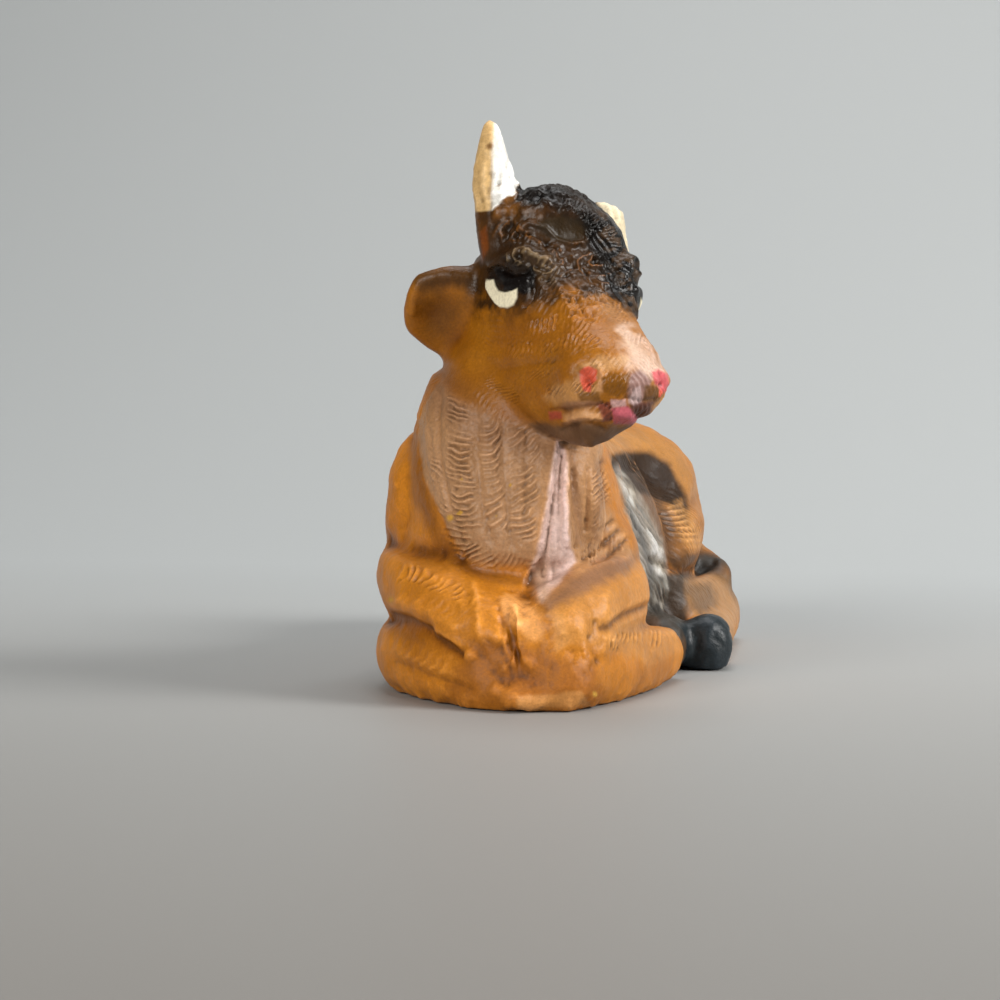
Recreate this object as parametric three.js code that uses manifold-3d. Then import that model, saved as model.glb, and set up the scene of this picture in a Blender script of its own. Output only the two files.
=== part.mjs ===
// A lying ox figurine, pressed from composition in separate pieces that are luted together and painted.
// The trunk is two half castings on a flat bottom layer. The neck, head, ears, horns, folded legs and tail are
// pressed on their own and seated on it. A bent wire ties head and neck to the trunk, and a pin holds each horn.
// Millimetres. +X is the animal's left, +Y runs from its chest to its rump and +Z is up.

import * as THREE from "three";
import { mergeVertices } from "three/addons/utils/BufferGeometryUtils.js";
import Module from "manifold-3d";

const wasm = await Module();
wasm.setup();

// Driving dimensions
const LUTE_GAP = 0.3; // the thin bed of slip between two pieces
const BASE_LAYER = 1.6; // the bottom layer that closes the casting
const WIRE_RADIUS = 1;
const WIRE_CLEARANCE = 0.3; // round the neck wire, all along its bore
const PIN_RADIUS = 0.55;
const PIN_CLEARANCE = 0.2;

const BACK_HEIGHT = 29.5; // from the floor to the line of the back
const WITHERS_RISE = 2.5; // of the shoulders over the back
const HIP_RISE = 0.5; // of the croup over the back
const TRUNK_HALF_WIDTH = 14.8; // from the spine to the widest of the belly
const TRUNK_FRONT = -38; // where the chest starts to round off
const TRUNK_REAR = 39; // where the rump starts to round off
const TRUNK_MIDDLE = 13; // height of the widest line

const HEAD_RISE = 12.9; // of the point between the eyes over the line of the back
const HEAD_PLACE = [6.5, -32, BACK_HEIGHT + HEAD_RISE]; // inside the skull, between the eyes
const HEAD_TURN = 31.8; // degrees that the nose looks to the animal's left
const HEAD_NOD = 31.9; // degrees that the nose looks down
const HEAD_LEAN = 4; // degrees that the head leans over
const MUZZLE_REACH = 18; // from the eyes to where the muzzle rounds off
const SKULL_REACH = 11; // from the eyes to where the skull rounds off
const SKULL_HALF_WIDTH = 7.2;
const MUZZLE_HALF_WIDTH = 5.4;
const EAR_ROOT = 4.6; // from the middle of the skull to the buried root of an ear
const EAR_LENGTH = 8; // from that root to where the right ear rounds off
const EAR_HALF_HEIGHT = 5.4;
const EAR_HALF_THICKNESS = 2.6; // at the root
const BRIDGE_HEIGHT = 4.8; // of the line of the nose over the head's origin
const POLL_HEIGHT = 11; // of the top of the skull over it
const JAW_DEPTH = 13; // of the jaw's corner below it
const CHIN_DEPTH = 6.2;

const NECK_TURN = 26; // degrees that the keel of the neck looks to the animal's left
const NECK_HALF_WIDTH = 10;
const NECK_HALF_DEPTH = 12; // from the windpipe to the keel of the dewlap
const NECK_FOOT = 0.475 * BACK_HEIGHT; // height of the lowest section of the dewlap

const FORE_LIMB = 4.8; // radius of the forearm
const CANNON = 4.1; // radius of the folded foreleg under it
const HAM = 7.2; // radius of the thigh at the hip
const SHANK = 3.6;
const HIND_CANNON = 2.8;
const TAIL = 1.7;
const HOOF = 3.1;
const SIDES = { trunk: 32, neck: 26, head: 32, limb: 12, ear: 14, horn: 10, wire: 8 };

const PAINT = {
  coat: 0xc07c33,
  head: 0x8f5a22,
  neck: 0x9d7f72,
  horn: 0xe9dfc4,
  dark: 0x2b2f36,
  mass: 0xb48a4e,
  wire: 0x8c8f92,
};

// Ways of forming

/** A smooth run through one value for each station, at a share t from 0 to 1. */
function alongStations(values, t) {
  const place = t * (values.length - 1);
  const i = Math.min(Math.floor(place), values.length - 2);
  const f = place - i;
  const [b, c] = [values[i], values[i + 1]];
  const a = i > 0 ? values[i - 1] : 2 * b - c;
  const d = i + 2 < values.length ? values[i + 2] : 2 * c - b;
  return b + 0.5 * f * (c - a + f * (2 * a - 5 * b + 4 * c - d + f * (3 * (b - c) + d - a)));
}

/** How much a touch of the modelling tool raises a point: its rise, fading with distance in units of its reach. */
function riseAt(point, { at, to = at, reach, rise }) {
  const spread = new THREE.Vector3(...(Array.isArray(reach) ? reach : [reach, reach, reach]));
  const line = new THREE.Line3(new THREE.Vector3(...at).divide(spread), new THREE.Vector3(...to).divide(spread));
  const spot = point.clone().divide(spread);
  const nearest = line.closestPointToPoint(spot, true, new THREE.Vector3());
  return rise * Math.exp(-nearest.distanceToSquared(spot));
}

/** Raises or hollows a form along its own normals with touches, then thickens it all over by a growth. */
function model(geometry, touches, growth) {
  const { position, normal } = geometry.attributes;
  const pointAt = (_, i) => new THREE.Vector3().fromBufferAttribute(position, i);
  const points = Array.from({ length: position.count }, pointAt);
  const rises = points.map((point) => touches.reduce((sum, touch) => sum + riseAt(point, touch), 0));
  const push = (distances) => {
    points.forEach((point, i) => {
      point.addScaledVector(new THREE.Vector3().fromBufferAttribute(normal, i), distances(i));
      position.setXYZ(i, ...point.toArray());
    });
  };
  push((i) => rises[i]);
  geometry.computeVertexNormals();
  push(() => growth);
  return geometry;
}

/**
 * A closed body lofted through stations. Each has its place (at), the reach of its section to the left, the right,
 * the top and the bottom, and a squareness, where 2 is an ellipse. Both ends are domed.
 */
function loft({ stations, across, rings, sides, domeStart, domeEnd, domeRings = 3, touches = [] }, growth = 0) {
  const value = (name, t) => alongStations(stations.map((s) => s[name] ?? 2), t);
  const place = (t) => new THREE.Vector3(...[0, 1, 2].map((k) => alongStations(stations.map((s) => s.at[k]), t)));
  const frameAt = (t) => {
    const ahead = place(Math.min(t + 0.01, 1)).sub(place(Math.max(t - 0.01, 0))).normalize();
    const side = new THREE.Vector3(...across).projectOnPlane(ahead).normalize();
    return { ahead, side, top: new THREE.Vector3().crossVectors(side, ahead) };
  };
  const rows = [];
  const addRing = (t, shift, share) => {
    const { ahead, side, top } = frameAt(t);
    const power = 2 / value("square", t);
    const swell = (c) => Math.sign(c) * Math.abs(c) ** power * share;
    for (let k = 0; k < sides; k++) {
      const angle = (k / sides) * 2 * Math.PI;
      const [c, s] = [Math.cos(angle), Math.sin(angle)];
      const point = place(t).addScaledVector(ahead, shift);
      point.addScaledVector(side, swell(c) * value(c > 0 ? "left" : "right", t));
      rows.push(point.addScaledVector(top, swell(s) * value(s > 0 ? "top" : "bottom", t)));
    }
  };
  const swings = Array.from({ length: domeRings - 1 }, (_, i) => ((i + 1) / domeRings) * (Math.PI / 2));
  swings.forEach((swing) => addRing(0, -domeStart * Math.cos(swing), Math.sin(swing)));
  for (let i = 0; i <= rings; i++) addRing(i / rings, 0, 1);
  swings.reverse().forEach((swing) => addRing(1, domeEnd * Math.cos(swing), Math.sin(swing)));
  const startTip = place(0).addScaledVector(frameAt(0).ahead, -domeStart);
  const endTip = place(1).addScaledVector(frameAt(1).ahead, domeEnd);

  const index = [];
  const last = rows.length - sides;
  for (let k = 0; k < sides; k++) {
    const next = (k + 1) % sides;
    for (let row = 0; row < last; row += sides) {
      const [a, b] = [row + k, row + next];
      index.push(a, a + sides, b, b, a + sides, b + sides);
    }
    index.push(rows.length, k, next);
    index.push(rows.length + 1, last + next, last + k);
  }
  const geometry = new THREE.BufferGeometry().setFromPoints([...rows, startTip, endTip]);
  geometry.setIndex(index);
  geometry.computeVertexNormals();
  return model(geometry, touches, growth);
}

/** A closed geometry as a solid that can be cut and joined. */
function solid(geometry) {
  const bare = new THREE.BufferGeometry().setAttribute("position", geometry.attributes.position);
  const merged = mergeVertices(bare.setIndex(geometry.index), 1e-4);
  return new wasm.Manifold(
    new wasm.Mesh({
      numProp: 3,
      vertProperties: new Float32Array(merged.attributes.position.array),
      triVerts: new Uint32Array(merged.index.array),
    }),
  );
}

/** The largest of the bodies that a cut leaves. */
function largest(cut) {
  return cut.decompose().reduce((most, one) => (one.volume() > most.volume() ? one : most));
}

/** A solid less each of the cutters. */
function without(form, ...cutters) {
  return largest(cutters.reduce((left, cutter) => left.subtract(cutter), form));
}

/** A solid as a named mesh in its paint. */
function piece(name, form, colour, roughness = 0.55, metalness = 0) {
  const { vertProperties, triVerts } = form.getMesh();
  const geometry = new THREE.BufferGeometry();
  geometry.setAttribute("position", new THREE.BufferAttribute(vertProperties, 3));
  geometry.setIndex(new THREE.BufferAttribute(triVerts, 1));
  geometry.computeVertexNormals();
  const mesh = new THREE.Mesh(geometry, new THREE.MeshStandardMaterial({ color: colour, roughness, metalness }));
  mesh.name = name;
  return mesh;
}

/** A plain block from its low to its high corner. */
function block(low, high) {
  const size = high.map((h, k) => h - low[k]);
  return solid(new THREE.BoxGeometry(...size).translate(...high.map((h, k) => (h + low[k]) / 2)));
}

/** A round rod along a curve through points, lengthened at both ends by a margin. */
function rod(points, radius, margin = 0) {
  const curve = new THREE.CatmullRomCurve3(points.map((p) => new THREE.Vector3(...p)));
  const stations = [0, 0.25, 0.5, 0.75, 1].map((t) => ({
    at: curve.getPointAt(t).toArray(),
    left: radius,
    right: radius,
    top: radius,
    bottom: radius,
  }));
  const end = 0.3 + margin;
  return solid(loft({ across: [1, 0.2, 0], rings: 8, sides: SIDES.wire, domeStart: end, domeEnd: end, stations }));
}

/** A limb from joint to joint. Each joint has its place, its radius and how tall it is for its width. */
function limb(joints, growth, { rings = 7, domeStart = 3, domeEnd = 3 } = {}) {
  const stations = joints.map(([at, radius, tall = 1]) => ({
    at,
    left: radius,
    right: radius,
    top: radius * tall,
    bottom: radius * tall,
    square: 2.2,
  }));
  return solid(loft({ across: [1, 0.1, 0], rings, sides: SIDES.limb, domeStart, domeEnd, stations }, growth));
}

// Trunk

/** The trunk without limbs: broad at the shoulders and hips, hollow at the flanks, with a rounded belly. */
function trunkForm(growth = 0) {
  const station = (y, x, right, left, top, square, middle = TRUNK_MIDDLE) => ({
    at: [x, y, middle],
    right: right * TRUNK_HALF_WIDTH,
    left: left * TRUNK_HALF_WIDTH,
    top: top - middle,
    bottom: middle + 2,
    square,
  });
  const withers = BACK_HEIGHT + WITHERS_RISE;
  const length = TRUNK_REAR - TRUNK_FRONT;
  const y = (share) => TRUNK_FRONT + share * length;
  return loft({
    across: [1, 0, 0],
    rings: 20,
    sides: SIDES.trunk,
    domeRings: 4,
    domeStart: 5,
    domeEnd: 5,
    stations: [
      station(y(0), 1.2, 0.42, 0.42, withers - 20, 2.2, 7),
      station(y(0.07), 0, 0.56, 0.58, withers - 14, 2.2, 9),
      station(y(0.14), -1, 0.7, 0.68, withers - 5, 2.3, 11.5),
      station(y(0.23), -1.6, 0.82, 0.74, withers, 2.3),
      station(y(0.39), -1.8, 0.95, 0.86, withers - 1, 2.3),
      station(y(0.55), -1.8, 1, 0.92, BACK_HEIGHT, 2.3),
      station(y(0.71), -1.5, 0.98, 0.86, BACK_HEIGHT - 0.5, 2.4),
      station(y(0.86), -1, 0.98, 0.87, BACK_HEIGHT + HIP_RISE, 2.5),
      station(y(1), -0.5, 0.88, 0.82, BACK_HEIGHT - 2.5, 2.5),
    ],
    touches: [
      { at: [8, 25, 28], to: [10, 33, 25], reach: 4, rise: 1.2 },
      { at: [-10, 25, 28], to: [-12, 33, 25], reach: 4, rise: 1.2 },
      { at: [11, 13, 23], reach: [5, 6, 6], rise: -2 },
      { at: [-13, 12, 23], reach: [6, 6, 6], rise: -2 },
      { at: [0, 20, 30], reach: [3, 14, 4], rise: 0.7 },
    ],
  }, growth);
}

// Neck

/** The neck with its hanging dewlap: a deep wedge whose keel and folds look forward and to the left. */
function neckForm(growth = 0) {
  const turn = THREE.MathUtils.degToRad(NECK_TURN);
  const height = HEAD_PLACE[2] - NECK_FOOT;
  const station = (share, x, y, half, near, front, back) => ({
    at: [x * HEAD_PLACE[0], y * HEAD_PLACE[1], NECK_FOOT + share * height],
    right: half * NECK_HALF_WIDTH,
    left: near * NECK_HALF_WIDTH,
    top: front * NECK_HALF_DEPTH,
    bottom: back * NECK_HALF_DEPTH,
    square: 2.15,
  });
  return loft({
    across: [Math.cos(turn), Math.sin(turn), 0],
    rings: 15,
    sides: SIDES.neck,
    domeStart: 3,
    domeEnd: 2,
    stations: [
      station(0, 0.09, 1, 0.66, 0.82, 0.7, 0.75),
      station(0.18, -0.12, 0.91, 0.94, 1.12, 0.92, 1),
      station(0.35, -0.23, 0.83, 1, 1.08, 1, 1.17),
      station(0.53, -0.18, 0.78, 0.95, 1, 1, 1),
      station(0.7, -0.09, 0.74, 0.86, 0.9, 0.95, 0.75),
      station(0.88, 0.09, 0.71, 0.74, 0.78, 0.83, 0.53),
      station(1.02, 0.25, 0.71, 0.6, 0.6, 0.67, 0.32),
    ],
    touches: [
      { at: [6, -38, 15], to: [6.4, -35, 29], reach: [1.8, 4, 3], rise: 1.9 },
      { at: [9.6, -34, 17], to: [9.4, -31, 27], reach: [1.4, 4, 3], rise: 0.8 },
    ],
  }, growth);
}

// Head. In its own frame the origin is between the eyes, the nose looks along -Y and the forehead is up.

/** The skull, face and muzzle with brows, eyes, nostrils, lips and jaws. */
function headForm(growth = 0) {
  const station = (y, half, top, bottom, square) => ({
    at: [0, y, (top - bottom) / 2],
    left: half,
    right: half,
    top: (top + bottom) / 2,
    bottom: (top + bottom) / 2,
    square,
  });
  const pair = (side, eyeRise) => [
    { at: [side * 7.2, -0.6, 2.6], reach: 1.9, rise: eyeRise },
    { at: [side * 5.2, -3, 5], to: [side * 6, 1.6, 6.4], reach: 1.8, rise: 0.7 },
    { at: [side * 6.4, 8, 5.4], reach: [2.4, 2.8, 3.4], rise: 1.1 },
    { at: [side * 4.2, 0.6 - MUZZLE_REACH, 2.4], reach: 1.4, rise: -0.9 },
    { at: [side * 5.6, 3 - MUZZLE_REACH, 1.4], reach: 2.4, rise: 0.7 },
    { at: [side * 5, 0.5 - MUZZLE_REACH, -CHIN_DEPTH], reach: 3, rise: -1.9 },
    { at: [side * 6, 4.6, 1.4 - JAW_DEPTH], reach: [4, 6, 4.4], rise: 2.6 },
    { at: [side * 5.4, -9, -7.4], to: [side * 6.2, -1, 3 - JAW_DEPTH], reach: [3.2, 3, 3.4], rise: 1.9 },
    { at: [side * 5.8, 4 - MUZZLE_REACH, -3.6], to: [side * 2, -1 - MUZZLE_REACH, -2.4], reach: 0.9, rise: -0.5 },
  ];
  return loft({
    across: [1, 0, 0],
    rings: 22,
    sides: SIDES.head,
    domeRings: 4,
    domeStart: 2,
    domeEnd: 3,
    stations: [
      station(-MUZZLE_REACH, 0.88 * MUZZLE_HALF_WIDTH, BRIDGE_HEIGHT - 1, CHIN_DEPTH - 0.6, 2.6),
      station(3.5 - MUZZLE_REACH, MUZZLE_HALF_WIDTH, BRIDGE_HEIGHT + 0.1, CHIN_DEPTH + 0.6, 2.6),
      station(8 - MUZZLE_REACH, 0.94 * MUZZLE_HALF_WIDTH, BRIDGE_HEIGHT, CHIN_DEPTH + 2, 2.4),
      station(-5, 0.82 * SKULL_HALF_WIDTH, BRIDGE_HEIGHT, JAW_DEPTH - 3.4, 2.4),
      station(0, 0.94 * SKULL_HALF_WIDTH, BRIDGE_HEIGHT + 1.2, JAW_DEPTH - 1.6, 2.5),
      station(4.2, SKULL_HALF_WIDTH, POLL_HEIGHT - 2.8, JAW_DEPTH, 2.6),
      station(7.8, 0.97 * SKULL_HALF_WIDTH, POLL_HEIGHT - 0.4, JAW_DEPTH + 0.4, 2.8),
      station(SKULL_REACH, 0.88 * SKULL_HALF_WIDTH, POLL_HEIGHT, JAW_DEPTH - 1.4, 2.7),
    ],
    touches: [...pair(1, 1.7), ...pair(-1, 0.9)],
  }, growth);
}

/** An ear: a rounded flap that is dished in front, on one side, with its reach from the skull and its sweep back. */
function earForm({ side, reach, sweep }) {
  const station = (share, up, down, thick) => ({
    at: [side * (EAR_ROOT + share * reach), 0.78 * SKULL_REACH + share * (1.6 + sweep), -JAW_DEPTH / 2],
    left: (side > 0 ? up : down) * EAR_HALF_HEIGHT,
    right: (side > 0 ? down : up) * EAR_HALF_HEIGHT,
    top: thick * EAR_HALF_THICKNESS,
    bottom: thick * EAR_HALF_THICKNESS,
  });
  return loft({
    across: [0, 0.1, side],
    rings: 8,
    sides: SIDES.ear,
    domeStart: 1,
    domeEnd: 1.8,
    stations: [
      station(0, 1, 1.1, 1),
      station(0.4, 0.96, 1.04, 0.77),
      station(0.74, 0.89, 0.89, 0.58),
      station(1, 0.67, 0.65, 0.46),
    ],
    touches: [
      { at: [side * (EAR_ROOT + 0.74 * reach), 8.4 + sweep, -JAW_DEPTH / 2], reach: [2.6, 2, 3], rise: -0.9 },
    ],
  });
}

const EAR_RIGHT = { side: -1, reach: EAR_LENGTH, sweep: 0 };
const EAR_LEFT = { side: 1, reach: 0.8 * EAR_LENGTH, sweep: 0.5 * EAR_LENGTH };

/** A place on the skull: shares of its half width, of its length behind the eyes and of the height of the poll. */
function onSkull(x, y, z) {
  return [x * SKULL_HALF_WIDTH, y * SKULL_REACH, z * POLL_HEIGHT];
}

const HORN_RIGHT = {
  root: onSkull(-0.75, 0.6, 0.24),
  bend: onSkull(-0.99, 1.05, 0.78),
  tip: onSkull(-1.04, 1.45, 1.23),
  radius: 3.1,
};
const HORN_LEFT = {
  root: onSkull(0.78, 0.64, 0.27),
  bend: onSkull(1.04, 0.98, 0.58),
  tip: onSkull(0.83, 1.18, 0.67),
  radius: 2.5,
};

/** The middle line of a horn. */
function hornLine({ root, bend, tip }) {
  return new THREE.CatmullRomCurve3([root, bend, tip].map((p) => new THREE.Vector3(...p)));
}

/** A horn that stands up from the side of the poll and thins towards its tip. */
function hornForm(horn) {
  const stations = [0, 0.25, 0.5, 0.75, 1].map((t) => {
    const radius = horn.radius * (1 - 0.76 * t ** 1.35);
    return { at: hornLine(horn).getPoint(t).toArray(), left: radius, right: radius, top: radius, bottom: radius };
  });
  return loft({ across: [1, 0, 0], rings: 8, sides: SIDES.horn, domeStart: 1, domeEnd: 0.6, stations });
}

/** The pin between a horn and the skull, or its bore. */
function hornPin(horn, clearance = 0) {
  const line = hornLine(horn);
  const points = [0, 0.28, 0.56].map((t) => line.getPoint(t).toArray());
  const inSkull = points[0].map((v, k) => v - 0.45 * (points[1][k] - v));
  return rod([inSkull, ...points], PIN_RADIUS + clearance, clearance);
}

// Legs

/** A place on the body: shares of its half width, of its half length and of the height of its back. */
function on(x, y, z) {
  return [x * TRUNK_HALF_WIDTH, y * TRUNK_REAR, z * BACK_HEIGHT];
}

/** The near foreleg: shoulder, forearm lying forward from the elbow, and the cannon folded back under it. */
function foreLegLeft(growth = 0) {
  const shoulder = limb([
    [on(0.33, -0.41, 0.85), FORE_LIMB * 1.04, 1.5],
    [on(0.45, -0.44, 0.62), FORE_LIMB * 1.06, 1.5],
    [on(0.581, -0.487, 0.407), FORE_LIMB, 1.2],
  ], growth, { rings: 6 });
  const forearm = limb([
    [on(0.649, -0.474, 0.359), FORE_LIMB * 0.92],
    [on(0.662, -0.641, 0.366), FORE_LIMB],
    [on(0.581, -0.846, 0.339), FORE_LIMB * 1.04],
    [on(0.473, -1.051, 0.251), FORE_LIMB * 0.9],
  ], growth);
  const cannon = limb([
    [on(0.514, -1.067, 0.129), CANNON],
    [on(0.703, -0.846, 0.122), CANNON * 0.96],
    [on(0.851, -0.564, 0.108), CANNON * 0.86],
    [on(0.946, -0.333, 0.108), CANNON * 0.74],
  ], growth, { domeEnd: 2 });
  return shoulder.add(forearm).add(cannon);
}

/** The far foreleg, folded across the front of the chest. */
function foreLegRight(growth = 0) {
  const shoulder = limb([
    [on(-0.63, -0.46, 0.86), FORE_LIMB * 1.1, 1.5],
    [on(-0.75, -0.52, 0.66), FORE_LIMB * 1.14, 1.5],
    [on(-0.77, -0.51, 0.44), FORE_LIMB, 1.2],
  ], growth, { rings: 6 });
  const forearm = limb([
    [on(-0.818, -0.436, 0.441), FORE_LIMB],
    [on(-0.764, -0.667, 0.427), FORE_LIMB * 1.04],
    [on(-0.378, -0.923, 0.339), FORE_LIMB * 1.04],
    [on(0.068, -1.046, 0.251), FORE_LIMB * 0.9],
  ], growth);
  const cannon = limb([
    [on(0.054, -1.056, 0.129), CANNON],
    [on(-0.405, -0.938, 0.136), CANNON],
    [on(-0.757, -0.718, 0.149), CANNON * 1.12],
    [on(-0.851, -0.436, 0.149), CANNON * 1.06],
  ], growth);
  return shoulder.add(forearm).add(cannon);
}

/** The near hind leg: thigh, shank back to the hock, and the cannon forward along the ground to the hoof. */
function hindLegLeft(growth = 0) {
  const thigh = limb([
    [on(0.405, 0.769, 0.644), HAM, 1.4],
    [on(0.493, 0.615, 0.542), HAM * 0.94, 1.4],
    [on(0.608, 0.41, 0.427), HAM * 0.74, 1.25],
    [on(0.689, 0.269, 0.325), HAM * 0.53],
  ], growth, { rings: 10, domeStart: 6 });
  const shank = limb([
    [on(0.811, 0.282, 0.203), SHANK * 0.89],
    [on(0.878, 0.564, 0.203), SHANK * 0.94],
    [on(0.932, 0.872, 0.19), SHANK],
  ], growth);
  const cannon = limb([
    [on(0.959, 0.933, 0.129), HIND_CANNON * 1.36],
    [on(1.068, 0.667, 0.102), HIND_CANNON],
    [on(1.149, 0.256, 0.088), HIND_CANNON * 0.9],
    [on(1.196, 0.09, 0.105), HIND_CANNON],
  ], growth, { rings: 12, domeStart: 2 });
  const hoof = limb([
    [on(1.203, 0.062, 0.102), HOOF * 0.92, 1.1],
    [on(1.223, -0.041, 0.102), HOOF, 1.15],
  ], growth, { rings: 3, domeEnd: 2 });
  return thigh.add(shank).add(cannon).add(hoof);
}

/** The foot of the far hind leg, which comes out under the belly. */
function hindFootRight(growth = 0) {
  return limb([
    [on(0.642, 0.205, 0.115), HOOF * 0.9],
    [on(0.824, 0.026, 0.122), HOOF * 0.94],
    [on(0.892, -0.141, 0.115), HOOF],
  ], growth, { rings: 5, domeEnd: 2 });
}

/** The thigh and shank on the far side. */
function hindLegRight(growth = 0) {
  const thigh = limb([
    [on(-0.581, 0.769, 0.644), HAM, 1.4],
    [on(-0.689, 0.615, 0.542), HAM * 0.97, 1.4],
    [on(-0.824, 0.436, 0.42), HAM * 0.75, 1.25],
    [on(-0.905, 0.282, 0.319), HAM * 0.55],
  ], growth, { rings: 10, domeStart: 6 });
  const shank = limb([
    [on(-0.905, 0.308, 0.136), SHANK * 1.05],
    [on(-0.946, 0.615, 0.136), SHANK * 1.05],
    [on(-0.851, 0.897, 0.149), SHANK * 1.05],
  ], growth);
  return thigh.add(shank);
}

/** The tail, laid round the near haunch to a tuft beside the hock. */
function tailForm(growth = 0) {
  return limb([
    [on(0, 1.087, 0.868), TAIL],
    [on(0.176, 1.126, 0.658), TAIL * 0.9],
    [on(0.473, 1.097, 0.461), TAIL * 0.9],
    [on(0.797, 1.005, 0.359), TAIL * 1.05],
    [on(1, 0.897, 0.305), TAIL * 1.2],
  ], growth, { rings: 18, domeEnd: 3.4 });
}

// Assembly

const headGroup = new THREE.Group();
headGroup.position.set(...HEAD_PLACE);
headGroup.rotation.set(...[HEAD_NOD, HEAD_LEAN, HEAD_TURN].map(THREE.MathUtils.degToRad), "ZXY");
headGroup.updateMatrix();
const turned = (form) => form.transform(headGroup.matrix.elements);
const unturned = (form) => form.transform(headGroup.matrix.clone().invert().elements);

const alongNeck = (x, y, share) => [x, y, share * HEAD_PLACE[2]];
const wireEnd = HEAD_PLACE.map((v, k) => v + [-2.3, 3.8, -1.9][k]);
const NECK_WIRE = [
  alongNeck(0, -15, 0.24),
  alongNeck(0, -20, 0.4),
  alongNeck(0.2, -25, 0.64),
  alongNeck(1.6, -26.6, 0.8),
  wireEnd,
];
const neckWire = rod(NECK_WIRE, WIRE_RADIUS);
const neckBore = rod(NECK_WIRE, WIRE_RADIUS + WIRE_CLEARANCE, WIRE_CLEARANCE);

const FAR = 200;
const belowFloor = block([-FAR, -FAR, -FAR], [FAR, FAR, 0]);
const belowBase = block([-FAR, -FAR, -FAR], [FAR, FAR, BASE_LAYER]);
const baseSlab = block([-FAR, -FAR, 0], [FAR, FAR, BASE_LAYER]);
const leftSpace = block([0, -FAR, -FAR], [FAR, FAR, FAR]);

const trunk = solid(trunkForm());
const trunkSeat = solid(trunkForm(LUTE_GAP));
const skull = solid(headForm());
const skullSeat = solid(headForm(LUTE_GAP));
const neckSeat = solid(neckForm(LUTE_GAP));
const neck = without(solid(neckForm()), trunkSeat, turned(skullSeat), neckBore);

const limbs = {
  foreleg_left: foreLegLeft,
  foreleg_right: foreLegRight,
  hind_leg_right: hindLegRight,
  hind_leg_left: hindLegLeft,
  hind_foot_right: hindFootRight,
  tail: tailForm,
};
const onBase = ["foreleg_left", "foreleg_right", "hind_leg_right"];
const darkPainted = ["tail", "hind_foot_right"];
const footprint = onBase.reduce((sum, name) => sum.add(limbs[name]()), trunk).intersect(baseSlab);
const base = without(footprint, hindLegLeft(LUTE_GAP), hindFootRight(LUTE_GAP));
const names = Object.keys(limbs);
const limbPieces = names.map((name, i) => {
  const earlier = names.slice(0, i).map((other) => limbs[other](LUTE_GAP));
  const ground = onBase.includes(name) ? belowBase : belowFloor;
  const cut = without(limbs[name](), trunkSeat, neckSeat, ground, ...earlier);
  return piece(name, cut, darkPainted.includes(name) ? PAINT.dark : PAINT.coat);
});

const trunkAbove = trunk.subtract(belowBase).subtract(neckBore);
const figurine = new THREE.Group();
figurine.add(
  piece("base_layer", base, PAINT.mass, 0.8),
  piece("trunk_left_half", largest(trunkAbove.intersect(leftSpace)), PAINT.coat),
  piece("trunk_right_half", largest(trunkAbove.subtract(leftSpace)), PAINT.coat),
  piece("neck", neck, PAINT.neck),
  piece("neck_wire", neckWire, PAINT.wire, 0.35, 0.9),
  ...limbPieces,
);

const horns = { horn_left: HORN_LEFT, horn_right: HORN_RIGHT };
const hornSeats = Object.values(horns).map((horn) => solid(hornForm(horn)));
const bores = Object.values(horns).map((horn) => hornPin(horn, PIN_CLEARANCE));
headGroup.add(piece("head", without(skull, unturned(neckBore), ...bores), PAINT.head));
Object.entries(horns).forEach(([name, horn], i) => {
  headGroup.add(piece(name, without(hornSeats[i], skullSeat, bores[i]), PAINT.horn));
  headGroup.add(piece(name.replace("horn", "horn_pin"), hornPin(horn), PAINT.wire, 0.35, 0.9));
});
const placedNeck = unturned(neckSeat);
headGroup.add(
  piece("ear_left", without(solid(earForm(EAR_LEFT)), skullSeat, placedNeck, hornSeats[0]), PAINT.head),
  piece("ear_right", without(solid(earForm(EAR_RIGHT)), skullSeat, placedNeck, hornSeats[1]), PAINT.head),
);
figurine.add(headGroup);

export default figurine;
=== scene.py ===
"""A lying ox figurine of pressed composition: its modelled skin, its hand painting and a plain studio stage.

The pressed pieces are fused into one skin, smoothed, worked over with the marks of the modelling tool, painted,
and parted again into one closed piece for each pressed piece. Lengths are millimetres until a piece is finished.
Marks and paint edges are laid out as they are seen from the front of the figure, in thousandths of that view.
"""

from __future__ import annotations

import logging
import math
from dataclasses import dataclass, field
from enum import Enum

import bpy
import numpy as np
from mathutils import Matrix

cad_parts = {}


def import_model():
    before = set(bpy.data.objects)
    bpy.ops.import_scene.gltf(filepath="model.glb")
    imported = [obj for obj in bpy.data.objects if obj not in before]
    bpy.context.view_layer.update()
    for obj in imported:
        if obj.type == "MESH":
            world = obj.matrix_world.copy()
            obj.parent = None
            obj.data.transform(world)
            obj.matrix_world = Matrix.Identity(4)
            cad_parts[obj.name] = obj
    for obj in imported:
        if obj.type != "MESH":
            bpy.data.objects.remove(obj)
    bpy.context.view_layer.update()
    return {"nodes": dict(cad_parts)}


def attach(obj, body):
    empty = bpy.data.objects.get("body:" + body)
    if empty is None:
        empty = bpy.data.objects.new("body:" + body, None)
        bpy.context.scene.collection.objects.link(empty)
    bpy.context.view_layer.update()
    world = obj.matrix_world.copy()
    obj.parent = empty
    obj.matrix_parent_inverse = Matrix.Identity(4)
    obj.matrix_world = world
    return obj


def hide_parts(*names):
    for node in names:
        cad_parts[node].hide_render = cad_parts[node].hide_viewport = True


LOG = logging.getLogger("ox")
MM = 0.001
Array = np.ndarray
Path = tuple[tuple[float, float], ...]
Colour = tuple[float, float, float]


# Helpers


PRIMES = (73856093, 19349663, 83492791)
SEED_STEP, SEED_START = 668265, 374761


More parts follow.
